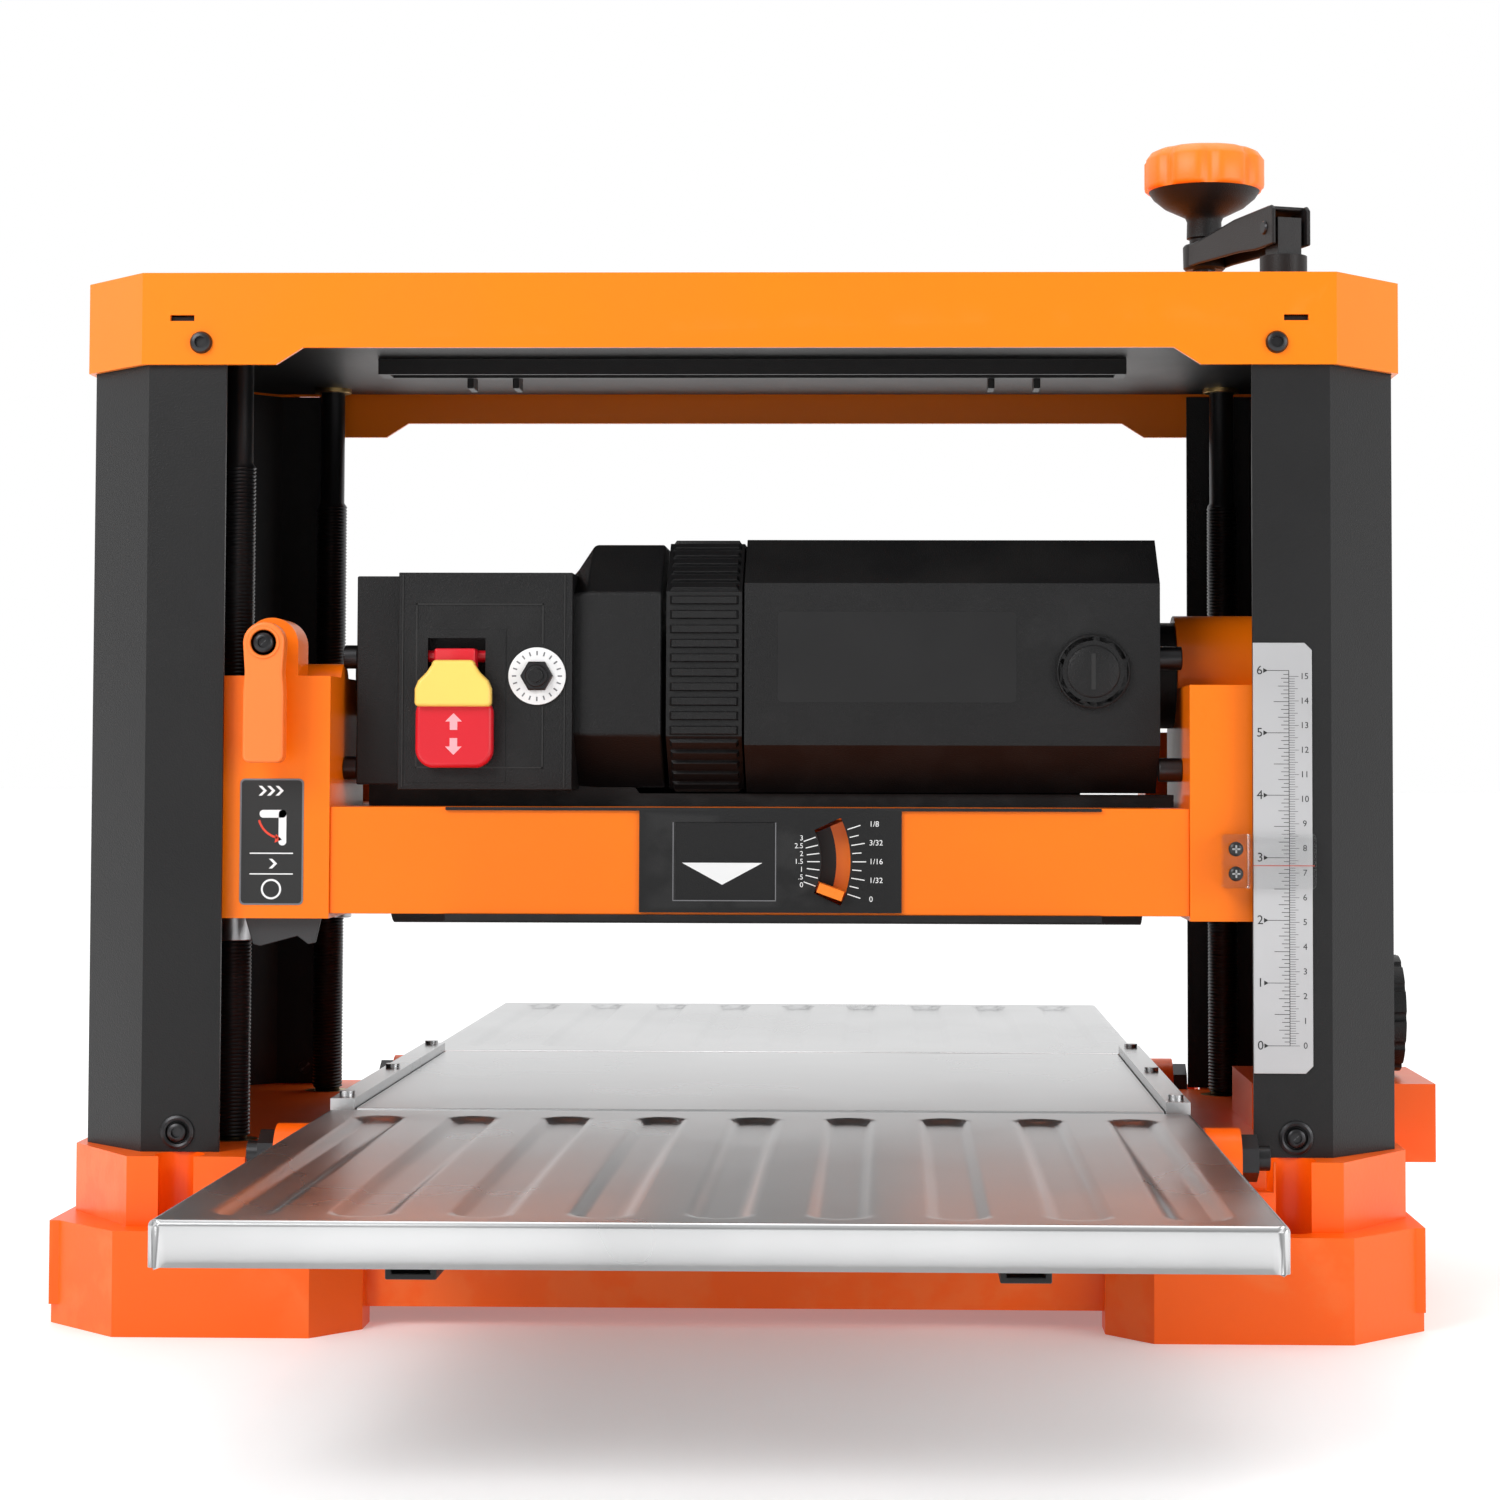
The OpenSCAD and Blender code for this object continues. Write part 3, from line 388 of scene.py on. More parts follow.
finish("guard_grey", (0.04, 0.04, 0.042), (0.048, 0.048, 0.05), 0.4, scale=900, depth=0.3, wear=0.3,
       worn=(0.16, 0.16, 0.16), dust=0.02, shine=0.4)
finish("scale_plate", (0.5, 0.5, 0.51), (0.56, 0.56, 0.57), 0.4, metal=0.5, texture="rolling",
       depth=0.03, wear=0.1, worn=(0.7, 0.7, 0.7), dust=0.0)
# Print has no relief, wear or dust of its own.
for title, colour, second in (
        ("mark_white", (0.8, 0.8, 0.8), (0.86, 0.86, 0.86)),
        ("mark_pink", (0.9, 0.42, 0.46), (0.88, 0.4, 0.44)),
        ("mark_black", (0.01, 0.01, 0.01), (0.012, 0.012, 0.012)),
        ("mark_grey", (0.16, 0.16, 0.17), (0.18, 0.18, 0.19)),
        ("mark_red", (0.75, 0.05, 0.02), (0.7, 0.05, 0.02))):
    finish(title, colour, second, 0.5, depth=0.0, wear=0.0, dust=0.0)


def clear_plastic():
    """Clear moulded plastic: plain transmission, with fine scratches in the roughness only."""
    mat = bpy.data.materials.new("clear_plastic")
    mat.use_nodes = True
    tree = mat.node_tree
    shader = tree.nodes["Principled BSDF"]
    shader.inputs["Transmission Weight"].default_value = 1.0
    shader.inputs["IOR"].default_value = 1.2
    scratch = use_group(tree, "grain", Scale=300.0)
    tone = mix_colour(tree, scratch.outputs["Tone"], (0.93, 0.94, 0.94), (0.98, 0.98, 0.98))
    tree.links.new(tone, shader.inputs["Base Color"])
    rough = math_node(tree, "MULTIPLY", scratch.outputs["Height"], 0.08)
    tree.links.new(rough, shader.inputs["Roughness"])
    return mat


FINISH["clear_plastic"] = clear_plastic()
floor.data.materials.append(plain_floor())
for name, node in nodes.items():
    node.data.materials.clear()
    node.data.materials.append(FINISH[slot_of[name]])
print(len(FINISH), "finishes")

# %% [markdown]
# ## Softened edges
# Nothing that is cast, moulded or folded has a knife edge. The working model does, so most visible
# pieces are copied, cleaned to flat faces and given a small bevel. A bevel catches the light along
# each edge, which is what makes a surface read as real metal or plastic.

# %% Soften helper
def attach(piece, body, material):
    """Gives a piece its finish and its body."""
    piece.data.materials.clear()
    piece.data.materials.append(FINISH[material])
    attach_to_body(piece, body)
    return piece


def smooth_by_angle(mesh, angle):
    """Smooth shading with sharp edges where faces meet at more than an angle."""
    bm = bmesh.new()
    bm.from_mesh(mesh)
    for face in bm.faces:
        face.smooth = True
    for edge in bm.edges:
        sharp = len(edge.link_faces) == 2 and edge.calc_face_angle(0.0) > angle
        edge.smooth = not sharp
    bm.to_mesh(mesh)
    bm.free()


def add_bevel(piece, width, segments=2, angle=32):
    """Rounds every edge sharper than an angle, by a width in millimetres."""
    bevel = piece.modifiers.new("rounded_edges", "BEVEL")
    bevel.width = width * MM
    bevel.segments = segments
    bevel.limit_method = "ANGLE"
    bevel.angle_limit = math.radians(angle)
    bevel.harden_normals = True
    bevel.use_clamp_overlap = True
    return piece


def soften(name, width, material=None, segments=2):
    """A copy of a working node with rounded edges, which stands in for it."""
    mesh = nodes[name].data.copy()
    bm = bmesh.new()
    bm.from_mesh(mesh)
    bmesh.ops.remove_doubles(bm, verts=bm.verts, dist=2e-6)
    bmesh.ops.dissolve_limit(bm, angle_limit=math.radians(1.0), verts=bm.verts, edges=bm.edges)
    bm.to_mesh(mesh)
    bm.free()
    smooth_by_angle(mesh, math.radians(32))
    piece = new_object(name + "_skin", mesh)
    add_bevel(piece, width, segments)
    attach(piece, body_of[name], material or slot_of[name])
    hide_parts(name)
    return piece


print("helpers: attach, smooth_by_angle, add_bevel, soften")

# %% Castings, covers and small parts
SOFT = {
    "base_casting": (2.2, None, 3), "left_column": (0.8, None, 2), "right_column": (0.8, None, 2),
    "top_cover": (1.0, None, 3), "top_plate": (0.6, None, 2), "bed_plate": (0.5, None, 2),
    "bed_guides": (0.6, None, 2), "gearbox_casting": (1.6, "beam_orange", 3),
        "belt_casting": (1.6, "beam_orange", 3),
    "front_beam": (0.8, "beam_orange", 2), "rear_beam": (0.8, "beam_orange", 2),
        "crank_hub": (0.6, None, 2),
    "motor_housing": (1.8, None, 3), "switch_box": (1.2, None, 3), "motor_end_cap": (2.5, None, 3),
        "dust_hood": (1.0, None, 2),
    "depth_stop_dial": (0.8, None, 2), "breaker_button": (0.5, None, 2),
    "brush_holders": (0.8, None, 2), "gearbox_cover": (0.6, None, 2), "belt_cover": (0.6, None, 2),
    "hinge_bolts": (0.5, None, 2), "lift_nuts": (0.6, None, 2), "tool_clips": (0.5, None, 2),
    "kickback_pawls": (0.6, None, 2), "motor_rods": (0.6, None, 2), "foot_pads": (0.8, None, 2),
    "cord_gland": (0.6, None, 2), "knives": (0.15, None, 1), "cutterhead": (0.4, None, 2),
    "motor_rotor": (0.4, None, 2), "cutter_bearings": (0.4, None, 2),
        "roller_blocks": (0.4, None, 2),
    "infeed_roller": (0.6, None, 2), "outfeed_roller": (0.6, None, 2),
        "kickback_rod": (0.4, None, 2),
    "feed_chain": (0.4, None, 2), "lift_chain": (0.6, None, 2), "drive_belt": (0.5, None, 2),
    "screw_bushes": (0.4, None, 2), "gauge_pointer": (0.8, None, 3), "gauge_plate": (0.4, None, 2),
        "depth_scale": (0.2, "scale_plate", 2),
}
for name, (width, material, segments) in SOFT.items():
    soften(name, width, material, segments)
print("softened", len(SOFT), "nodes")

# %% [markdown]
# ## Mesh tools
# The rest is built from three kinds of shape: a plate cut to an outline, a turned part made by
# spinning a profile, and a surface given by a formula. Each helper makes a closed mesh.

# %% Plates and outlines
def face_out(mesh):
    """Turns every face outwards."""
    bm = bmesh.new()
    bm.from_mesh(mesh)
    bmesh.ops.recalc_face_normals(bm, faces=bm.faces)
    bm.to_mesh(mesh)
    bm.free()


def plate(name, outline, plane, low, high):
    """A plate with an outline given in millimetres in plane 'xz', 'xy' or 'yz'."""
    def place(u, v, w):
        spot = {"xz": (u, w, v), "xy": (u, v, w), "yz": (w, u, v)}[plane]
        return tuple(c * MM for c in spot)

    n = len(outline)
    points = [place(u, v, low) for u, v in outline] + [place(u, v, high) for u, v in outline]
    faces = [tuple(range(n)), tuple(range(2 * n - 1, n - 1, -1))]
    faces += [(i, i + n, (i + 1) % n + n, (i + 1) % n) for i in range(n)]
    piece = mesh_piece(name, points, faces)
    face_out(piece.data)
    return piece


def arc(cx, cy, r, start, end, steps):
    """Points on an arc, angles in degrees."""
    turn = [math.radians(start + (end - start) * i / steps) for i in range(steps + 1)]
    return [(cx + r * math.cos(a), cy + r * math.sin(a)) for a in turn]


def rounded(x0, x1, y0, y1, r):
    """Outline of a rectangle with round corners."""
    return (arc(x1 - r, y0 + r, r, -90, 0, 6) + arc(x1 - r, y1 - r, r, 0, 90, 6)
            + arc(x0 + r, y1 - r, r, 90, 180, 6) + arc(x0 + r, y0 + r, r, 180, 270, 6))


print("outline helpers: plate, arc, rounded")


# %% Swept surfaces
def swept(name, rings):
    """Joins rings of equal length into a closed surface with a cap at each end."""
    n = len(rings[0])
    points = [p for ring in rings for p in ring]
    faces = []
    for a in range(0, len(points) - n, n):
        b = a + n
        faces += [(a + i, a + (i + 1) % n, b + (i + 1) % n, b + i) for i in range(n)]
    faces.append(tuple(reversed(range(n))))
    faces.append(tuple(range(len(points) - n, len(points))))
    piece = mesh_piece(name, points, faces)
    face_out(piece.data)
    smooth_by_angle(piece.data, math.radians(40))
    return piece


print("surface helper: swept")


# %% Joined meshes and figures
def joined(name, parts):
    """Several meshes made one object."""
    bm = bmesh.new()
    for part in parts:
        bm.from_mesh(part.data)
        bpy.data.objects.remove(part)
    mesh = bpy.data.meshes.new(name)
    bm.to_mesh(mesh)
    bm.free()
    return new_object(name, mesh)


def number(name, text, x, z, y, size, align="CENTER"):
    """A numeral or short figure facing the front, as flat raised print."""
    curve = bpy.data.curves.new(name, "FONT")
    curve.body = text
    curve.size = size * MM
    curve.align_x = align
    curve.align_y = "CENTER"
    curve.extrude = 0.04 * MM
    curve.resolution_u = 3
    made = new_object(name + "_curve", curve)
    graph = bpy.context.evaluated_depsgraph_get()
    mesh = bpy.data.meshes.new_from_object(made.evaluated_get(graph))
    mesh.transform(Matrix.Translation((x * MM, y * MM, z * MM)) @ Matrix.Rotation(math.pi / 2, 4,
                                                                                  "X"))
    bpy.data.objects.remove(made)
    return new_object(name, mesh)


print("mesh helpers: joined, number")

# %% [markdown]
# ## Folding tables
# Each table is one pressed steel sheet: nine long channels stiffen it, its rim turns down into a
# lip, and its corners are round. The top is a fine grid whose heights follow a formula, the
# distance to each channel's middle line; the lip is drawn down from the grid's rim afterwards.

# %% Channel depth
CHANNELS = 9
CHANNEL_HALF = 9.5
CHANNEL_DEPTH = 2.0
CHANNEL_FLANK = 3.0
FIRST_CHANNEL, LAST_CHANNEL = 24, 12
SIDE_MARGIN = 16
LIP, HINGE_LIP = 14.6, 7.0
CORNER_RADIUS = 5
SHEET = 1.2


def table_height(x, along, pitch, near, far):
    """Depth of the pressing at a point: zero between channels."""
    middle = (round(x / pitch + (CHANNELS - 1) / 2) - (CHANNELS - 1) / 2) * pitch
    limit = (CHANNELS - 1) / 2 * pitch
    middle = max(-limit, min(limit, middle))
    reach = min(max(along, near + CHANNEL_HALF), far - CHANNEL_HALF)
    gap = math.hypot(x - middle, along - reach)
    t = min(max((CHANNEL_HALF - gap) / CHANNEL_FLANK, 0.0), 1.0)
    return -CHANNEL_DEPTH * t * t * (3 - 2 * t)


print("channel", 2 * CHANNEL_HALF, "mm wide and", CHANNEL_DEPTH, "mm deep")


# %% Pressed sheet
def pressed_table(node, outward):
    """A pressed sheet with a lip; outward is the sense in which the table leaves its hinge."""
    low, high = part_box(node)
    x0, x1 = low.x / MM, high.x / MM
    top = high.z / MM
    near, far = (high.y / MM, low.y / MM) if outward < 0 else (low.y / MM, high.y / MM)
    length = abs(far - near)
    width = x1 - x0
    cx = (x0 + x1) / 2
    nx, ny = 176, 150
    inset = 0.6
    grid = []
    for j in range(ny + 1):
        along = inset + (length - 2 * inset) * j / ny
        for i in range(nx + 1):
            x = -width / 2 + inset + (width - 2 * inset) * i / nx
            z = table_height(x, along, (width - SIDE_MARGIN) / CHANNELS, FIRST_CHANNEL,
                             length - LAST_CHANNEL)
            grid.append(((cx + x) * MM, (near + outward * along) * MM, (top + z) * MM))
    row = nx + 1
    faces = [(j * row + i, j * row + i + 1, (j + 1) * row + i + 1, (j + 1) * row + i)
             for j in range(ny) for i in range(nx)]
    piece = mesh_piece(node + "_sheet", grid, faces)
    bm = bmesh.new()
    bm.from_mesh(piece.data)
    bmesh.ops.recalc_face_normals(bm, faces=bm.faces)
    if sum(f.normal.z for f in bm.faces) < 0:
        bmesh.ops.reverse_faces(bm, faces=bm.faces)
    rim = [e for e in bm.edges if len(e.link_faces) == 1]
    drop = bmesh.ops.extrude_edge_only(bm, edges=rim)["geom"]
    hinge = near * MM
    for v in [g for g in drop if isinstance(g, bmesh.types.BMVert)]:
        at_hinge = abs(v.co.y - hinge) < 2 * MM
        v.co.z -= (HINGE_LIP if at_hinge else LIP) * MM
    corner = [e for e in bm.edges if abs(e.verts[0].co.z - e.verts[1].co.z) > 5 * MM
              and e.calc_face_angle(0) > 1.0]
    bmesh.ops.bevel(bm, geom=corner, offset=CORNER_RADIUS * MM, segments=5,
                      profile=0.5, affect="EDGES")
    bmesh.ops.recalc_face_normals(bm, faces=bm.faces)
    bm.to_mesh(piece.data)
    bm.free()
    smooth_by_angle(piece.data, math.radians(60))
    add_bevel(piece, 2.4, 4, 50)
    skin = piece.modifiers.new("sheet_thickness", "SOLIDIFY")
    skin.thickness = SHEET * MM
    skin.offset = -1
    attach(piece, body_of[node], "stainless")
    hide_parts(node)
    return piece


print("lip", LIP, "mm deep")

# %% [markdown]
# Under each sheet run two black channels, and two ears hang the table on its hinge bolts. All four
# are outlines given a thickness, the channels along the table and the ears across it.

# %% Braces and ears
HINGE_Z, BRACE_TOP = 72, 86
RAIL_X, EAR_X = 95, 174.75


def table_braces(node):
    """Two black channels under a table and the two plates that hang it on its bolts."""
    low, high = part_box(node)
    cx = (low.x + high.x) / 2 / MM
    front, back = low.y / MM, high.y / MM
    inner = back if node.startswith("infeed") else front
    sign = -1 if node.startswith("infeed") else 1
    parts = []
    for side in (-1, 1):
        x = cx + side * RAIL_X
        span = sorted((inner + sign * 36, inner + sign * (back - front - 8)))
        outline = [(x - 8, 69), (x + 8, 69), (x + 8, BRACE_TOP), (x + 6, BRACE_TOP), (x + 6, 71),
                   (x - 6, 71), (x - 6, BRACE_TOP), (x - 8, BRACE_TOP)]
        parts.append(plate(node + "_rail", outline, "xz", span[0], span[1]))
    piece = joined(node + "_rails", parts)
    smooth_by_angle(piece.data, math.radians(30))
    add_bevel(piece, 0.5)
    attach(piece, body_of[node], "black_paint")
    ears = []
    for side in (-1, 1):
        x = cx + side * EAR_X
        pivot_y = inner - sign * -15.5
        ring = arc(pivot_y, HINGE_Z, 8, 180, 360, 12)
        ring += [(pivot_y + 14, BRACE_TOP), (pivot_y - 14, BRACE_TOP)]
        ears.append(plate(node + "_ear", ring, "yz", x - SHEET, x + SHEET))
    ear = joined(node + "_ears", ears)
    add_bevel(ear, 0.4)
    attach(ear, body_of[node], "stainless")


for node, outward in (("infeed_table", -1), ("outfeed_table", 1)):
    pressed_table(node, outward)
    table_braces(node)
print("tables pressed with", CHANNELS, "channels each")

# %% [markdown]
# ## Lifting screws
# A real helix, not rings: each ring of points climbs a little and its radius follows the thread's
# triangle wave, so the thread winds once round for each sixteenth of an inch.

# %% Threaded screws
pitch = INCH / 16
thread_low, thread_high = 72.0, 355.0


def thread_radius(z, angle, r):
    """Radius of the helix at a height and an angle."""
    wave = ((z / pitch - angle / (2 * math.pi)) % 1.0)
    return r - 0.75 * abs(2 * wave - 1)


def lifting_screw(node):
    """A threaded rod between two plain ends, with its sprocket; returns the rows of the thread."""
    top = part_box(node)[1].z / MM
    joint = next(j for j in frame["joints"] if j["child"] == body_of[node])
    cx, cy = joint["pos_m"][0] / MM, joint["pos_m"][1] / MM
    around, rows = 20, int((thread_high - thread_low) / pitch * 4)
    levels = [(27, 5.9), (thread_low - 1, 5.9), (thread_low - 0.5, 6.2)]
    levels += [(thread_low + (thread_high - thread_low) * i / rows, None) for i in range(rows + 1)]
    levels += [(thread_high + 0.5, 6.9), (thread_high + 2, 5.9), (top - 0.01, 5.9)]
    made = []
    for z, r in levels:
        line = []
        for k in range(around):
            a = 2 * math.pi * k / around
            reach = thread_radius(z, a, 7.45) if r is None else r
            line.append(((cx + reach * math.cos(a)) * MM, (cy + reach * math.sin(a)) * MM, z * MM))
        made.append(line)
    piece = swept(node + "_thread", made)
    for face in piece.data.polygons:
        face.use_smooth = True
    attach(piece, body_of[node], "black_steel")
    teeth = 15
    outline = []
    for t in range(teeth):
        for share, r in ((0.0, 16.2), (0.22, 16.2), (0.36, 18.0), (0.64, 18.0), (0.78, 16.2)):
            a = 2 * math.pi * (t + share) / teeth
            outline.append((cx + r * math.cos(a), cy + r * math.sin(a)))
    wheel = plate(node + "_sprocket", outline, "xy", 20, 27)
    add_bevel(wheel, 0.3)
    attach(wheel, body_of[node], "black_steel")
    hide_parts(node)
    return rows


for node in ("front_left_screw", "rear_left_screw", "rear_right_screw", "front_right_screw"):
    rows = lifting_screw(node)
print("threads with", rows, "rows each")

# %% [markdown]
# ## Screws on show
# The cover and the columns are held by socket screws in dished washers. Each is turned from a short
# profile, and its socket, a round recess, is part of the same surface, drawn down from the head's top.

# %% Turned screws
def turned(name, profile, centre, axis, steps=32, start=0.0):
    """Spins a profile of (radius, height) in millimetres about an axis, heights along the axis."""
    axis = Vector(axis)
    side = Vector((0, 0, 1)) if abs(axis.z) < 0.5 else Vector((1, 0, 0))
    other = axis.cross(side)
    rings = []
    for radius, height in profile:
        ring = []
        for k in range(steps):
            a = start + 2 * math.pi * k / steps
            p = side * (radius * math.cos(a)) + other * (radius * math.sin(a)) + axis * height
            ring.append(tuple((Vector(centre) + p) * MM))
        rings.append(ring)
    return swept(name, rings)


def socket_screw(name, centre, axis, r, height):
    """A button head with a round socket recess."""
    head = [(0.2, -1.0), (r * 0.92, -1.0), (r, 0.0), (r, height * 0.35), (r * 0.86, height * 0.8),
            (r * 0.62, height), (r * 0.5, height)]
    head += [(r * 0.48, height * 0.4), (0.1, height * 0.4)]
    return turned(name + "_head", head, centre, axis, 36)


print("turning helpers: turned, socket_screw")


# %% Screws in their places
def screws_for(node, spots, r, height, washer):
    """Socket screws in place of a working node; a washer radius above zero adds dished washers."""
    parts = []
    for x, y, z in spots:
        axis = outward_axis(y, z)
        parts.append(socket_screw(node, (x, y, z), axis, r, height))
        if washer:
            dish = [(washer - 2.4, 0.05), (washer - 2.0, 0.9), (washer - 1.0, 1.3), (washer, 0.9),
                    (washer + 0.2, 0.02)]
            parts.append(turned(node + "_dish", dish, (x, y, z), axis, 40))
    piece = joined(node + "_set", parts)
    smooth_by_angle(piece.data, math.radians(35))
    attach(piece, body_of[node], "black_steel")
    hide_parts(node)
    return piece


column_face = -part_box("left_column")[0].y / MM
cover_face = -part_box("top_cover")[0].y / MM
cover_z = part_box("top_cover")[1].z / MM
bolt_z = (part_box("column_bolts")[0].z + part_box("column_bolts")[1].z) / 2 / MM
column_bolt_x, skirt_screw_x, skirt_screw_z, top_screw_x = 228, 221, 402, 245
quarters = [(sx, sy) for sx in (-1, 1) for sy in (-1, 1)]


def outward_axis(y, z):
    """Up for a screw on the cover's top, else out of the front or the back."""
    return (0, 0, 1) if z == cover_z else (0, math.copysign(1, y), 0)


spots = [(sx * column_bolt_x, sy * column_face, bolt_z) for sx, sy in quarters]
screws_for("column_bolts", spots, 4.2, 2.8, 6.8)
spots = [(sx * skirt_screw_x, sy * cover_face, skirt_screw_z) for sx, sy in quarters]
spots += [(sx * top_screw_x, y, cover_z) for sx in (-1, 1) for y in (-60, 60)]
spots += [(-225, -95, cover_z)]
screws_for("cover_screws", spots, 4.6, 2.6, 0)
print("screws turned")

# %% [markdown]
# ## Crank knob
# A moulded grip has shallow finger scallops round its rim, a domed top and a black skirt that
# tapers to the stem. The rim's radius is a smooth wave round the circle that fades out at the top.

# %% Knob
knob_low, knob_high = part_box("crank_knob")
knob_x, knob_y = (knob_low.x + knob_high.x) / 2 / MM, (knob_low.y + knob_high.y) / 2 / MM
knob_top = knob_high.z / MM
knob_r = 26.9
SCALLOPS = 8


def knob_ring(r, z, scallop, steps=96):
    """One level of the knob, with shallow finger scallops cut to a depth."""
    ring = []
    for k in range(steps):
        a = 2 * math.pi * k / steps
        wave = max(0.0, math.cos(SCALLOPS * a)) ** 2
        reach = r - scallop * wave
        ring.append(((knob_x + reach * math.cos(a)) * MM, (knob_y + reach * math.sin(a)) * MM,
                     (knob_top + z) * MM))
    return ring


rim = [(22.0, -19.6, 0), (25.6, -19.4, 0.8), (26.6, -18.6, 2.0), (knob_r, -17.2, 2.4),
       (knob_r, -6.0, 2.4),
       (26.2, -5.0, 2.3), (24.4, -2.6, 1.8), (21.4, -1.2, 0.8), (17.0, -0.4, 0), (8.0, -0.1, 0),
       (0.5, 0, 0)]
knob = swept("knob_rim", [knob_ring(r, z, s) for r, z, s in rim])
attach(knob, "knob", "orange_plastic")
skirt = [(6.8, -41), (7.9, -40.5), (7.7, -33), (8.6, -31), (11, -29.8), (18, -26.4), (22.8, -22.4),
         (24.8, -19.4),
         (24.4, -18.4), (3, -18)]
cone = swept("knob_skirt", [knob_ring(r, z, 0) for r, z in skirt])
attach(cone, "knob", "black_plastic")
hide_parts("crank_knob")
print("knob top at", round(knob_top, 1), "mm")

# %% [markdown]
# ## Crank arm
# The arm is a folded steel channel. It hooks over a pin in the hub, so it can be swung up for
# turning, and it ends in a round boss under the knob's stem.

# %% Arm and stem
hub_x, hub_y = 230.0, -95.0
reach_x, reach_y = knob_x - hub_x, knob_y - hub_y
arm_reach = math.hypot(reach_x, reach_y)
arm_turn = math.atan2(reach_y, reach_x)
fold_z = 457.0


def on_arm(piece):
    """Moves a piece drawn along +X at the hub onto the arm's direction."""
    piece.data.transform(Matrix.Translation((hub_x * MM, hub_y * MM, 0)) @ Matrix.Rotation(arm_turn,
                                                                                           4, "Z"))
    return piece


side = [(-8, fold_z - 8), (9, fold_z - 8), (26, fold_z - 6.5), (arm_reach - 12, fold_z - 5),
        (arm_reach - 2, fold_z - 5),
        (arm_reach - 2, fold_z + 5), (arm_reach - 14, fold_z + 5.5), (30, fold_z + 8.6),
        (-6, fold_z + 9), (-8, fold_z + 7)]
walls = [plate("arm_wall", side, "xz", y, y + 1.8) for y in (-9, 7.2)]
top = [(-4, fold_z + 7.2), (30, fold_z + 6.8), (arm_reach - 14, fold_z + 3.7),
       (arm_reach, fold_z + 3.2),
       (arm_reach, fold_z + 5), (arm_reach - 14, fold_z + 5.5), (30, fold_z + 8.6),
       (-4, fold_z + 9)]
walls.append(plate("arm_web", top, "xz", -9, 9))
arm = on_arm(joined("arm_channel", walls))
smooth_by_angle(arm.data, math.radians(30))
add_bevel(arm, 0.8, 3)
attach(arm, "arm", "black_paint")
boss = turned("arm_boss", [(0.2, -6), (8.4, -6), (9.4, -5), (9.6, 4.4), (8.8, 5.4), (6.6, 5.6),
                           (6.6, 12), (0.2, 12)],
              (knob_x, knob_y, fold_z), (0, 0, 1), 48)
attach(boss, "arm", "black_paint")
rivet = on_arm(turned("arm_pivot", [(0.2, -9.8), (2.4, -9.8), (3, -9.2), (3, 9.2), (2.4, 9.8),
                                    (0.2, 9.8)],
                      (0, 0, fold_z), (0, 1, 0), 24))
attach(rivet, "arm", "black_steel")
tail = turned("arm_stud_end", [(0.2, -9), (4.6, -9), (5, -8.5), (5, -5.8), (0.2, -5.8)],
              (knob_x, knob_y, fold_z), (0, 0, 1), 24)
attach(tail, "arm", "black_steel")
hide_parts("crank_arm")
print("arm", round(arm_reach, 1), "mm long")

# %% [markdown]
# ## Depth scale
# The scale is printed on a thin plate: inches and sixteenths on the left, centimetres and
# millimetres on the right of one fine rule. Its marks are laid as very thin solids, so they stay
# crisp from any side.

# %% Scale marks
def thin_boxes(name, boxes, material, body):
    """Many flat marks as one piece; each is (x0, x1, y0, y1, z0, z1) in millimetres."""
    points, faces = [], []
    for x0, x1, y0, y1, z0, z1 in boxes:
        n = len(points)
        points += [(x * MM, y * MM, z * MM) for x in (x0, x1) for y in (y0, y1) for z in (z0, z1)]
        faces += [tuple(n + i for i in f) for f in
                  ((0, 1, 3, 2), (4, 6, 7, 5), (0, 4, 5, 1), (2, 3, 7, 6), (0, 2, 6, 4),
                   (1, 5, 7, 3))]
    piece = mesh_piece(name, points, faces)
    return attach(piece, body, material)


scale_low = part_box("depth_scale")[0]
scale_y = scale_low.y / MM
rule_x = scale_low.x / MM + 14.6
zero_z = 115.25
print_y = (scale_y - 0.06, scale_y + 0.02)
INCHES, CENTIMETRES = 6, 15


def mark_length(i, lengths):
    """The length that goes with the largest step dividing the mark's number."""
    return next(reach for step, reach in lengths if i % step == 0)


marks = [(rule_x - 0.12, rule_x + 0.12, *print_y, zero_z, zero_z + 152.4)]
for i in range(INCHES * 16 + 1):
    z = zero_z + i * INCH / 16
    reach = mark_length(i, ((16, 9.5), (8, 6.2), (4, 4.4), (2, 3.2), (1, 2.2)))
    marks.append((rule_x - reach, rule_x, *print_y, z - 0.11, z + 0.11))
for i in range(CENTIMETRES * 10 + 1):
    z = zero_z + i
    reach = mark_length(i, ((10, 4.0), (5, 3.6), (1, 2.4)))
    marks.append((rule_x, rule_x + reach, *print_y, z - 0.08, z + 0.08))
thin_boxes("scale_marks", marks, "mark_black", "base")
figures = [number("inch", str(i), rule_x - 11.9, zero_z + i * INCH, scale_y - 0.03, 5.2)
           for i in range(INCHES + 1)]
figures += [number("cm", str(i), rule_x + 6.3, zero_z + i * 10, scale_y - 0.03, 3.6)
            for i in range(CENTIMETRES + 1)]
for i in range(INCHES + 1):
    z = zero_z + i * INCH
    figures.append(plate("arrow", [(rule_x - 10.4, z - 1), (rule_x - 8.6, z),
                                   (rule_x - 10.4, z + 1)], "xz", *print_y))
attach(joined("scale_figures", figures), "base", "mark_black")
print("scale marks:", len(marks))

# %% [markdown]
# ## Scale lens
# A clear lens on the carriage carries a red sight line down the scale. Glass could be faked with a
# transparent shader, but a solid plate with true transmission bends the marks behind it as the
# real one does, and a fillet of 0.35 mm gives its rim the bright edge of moulded plastic.

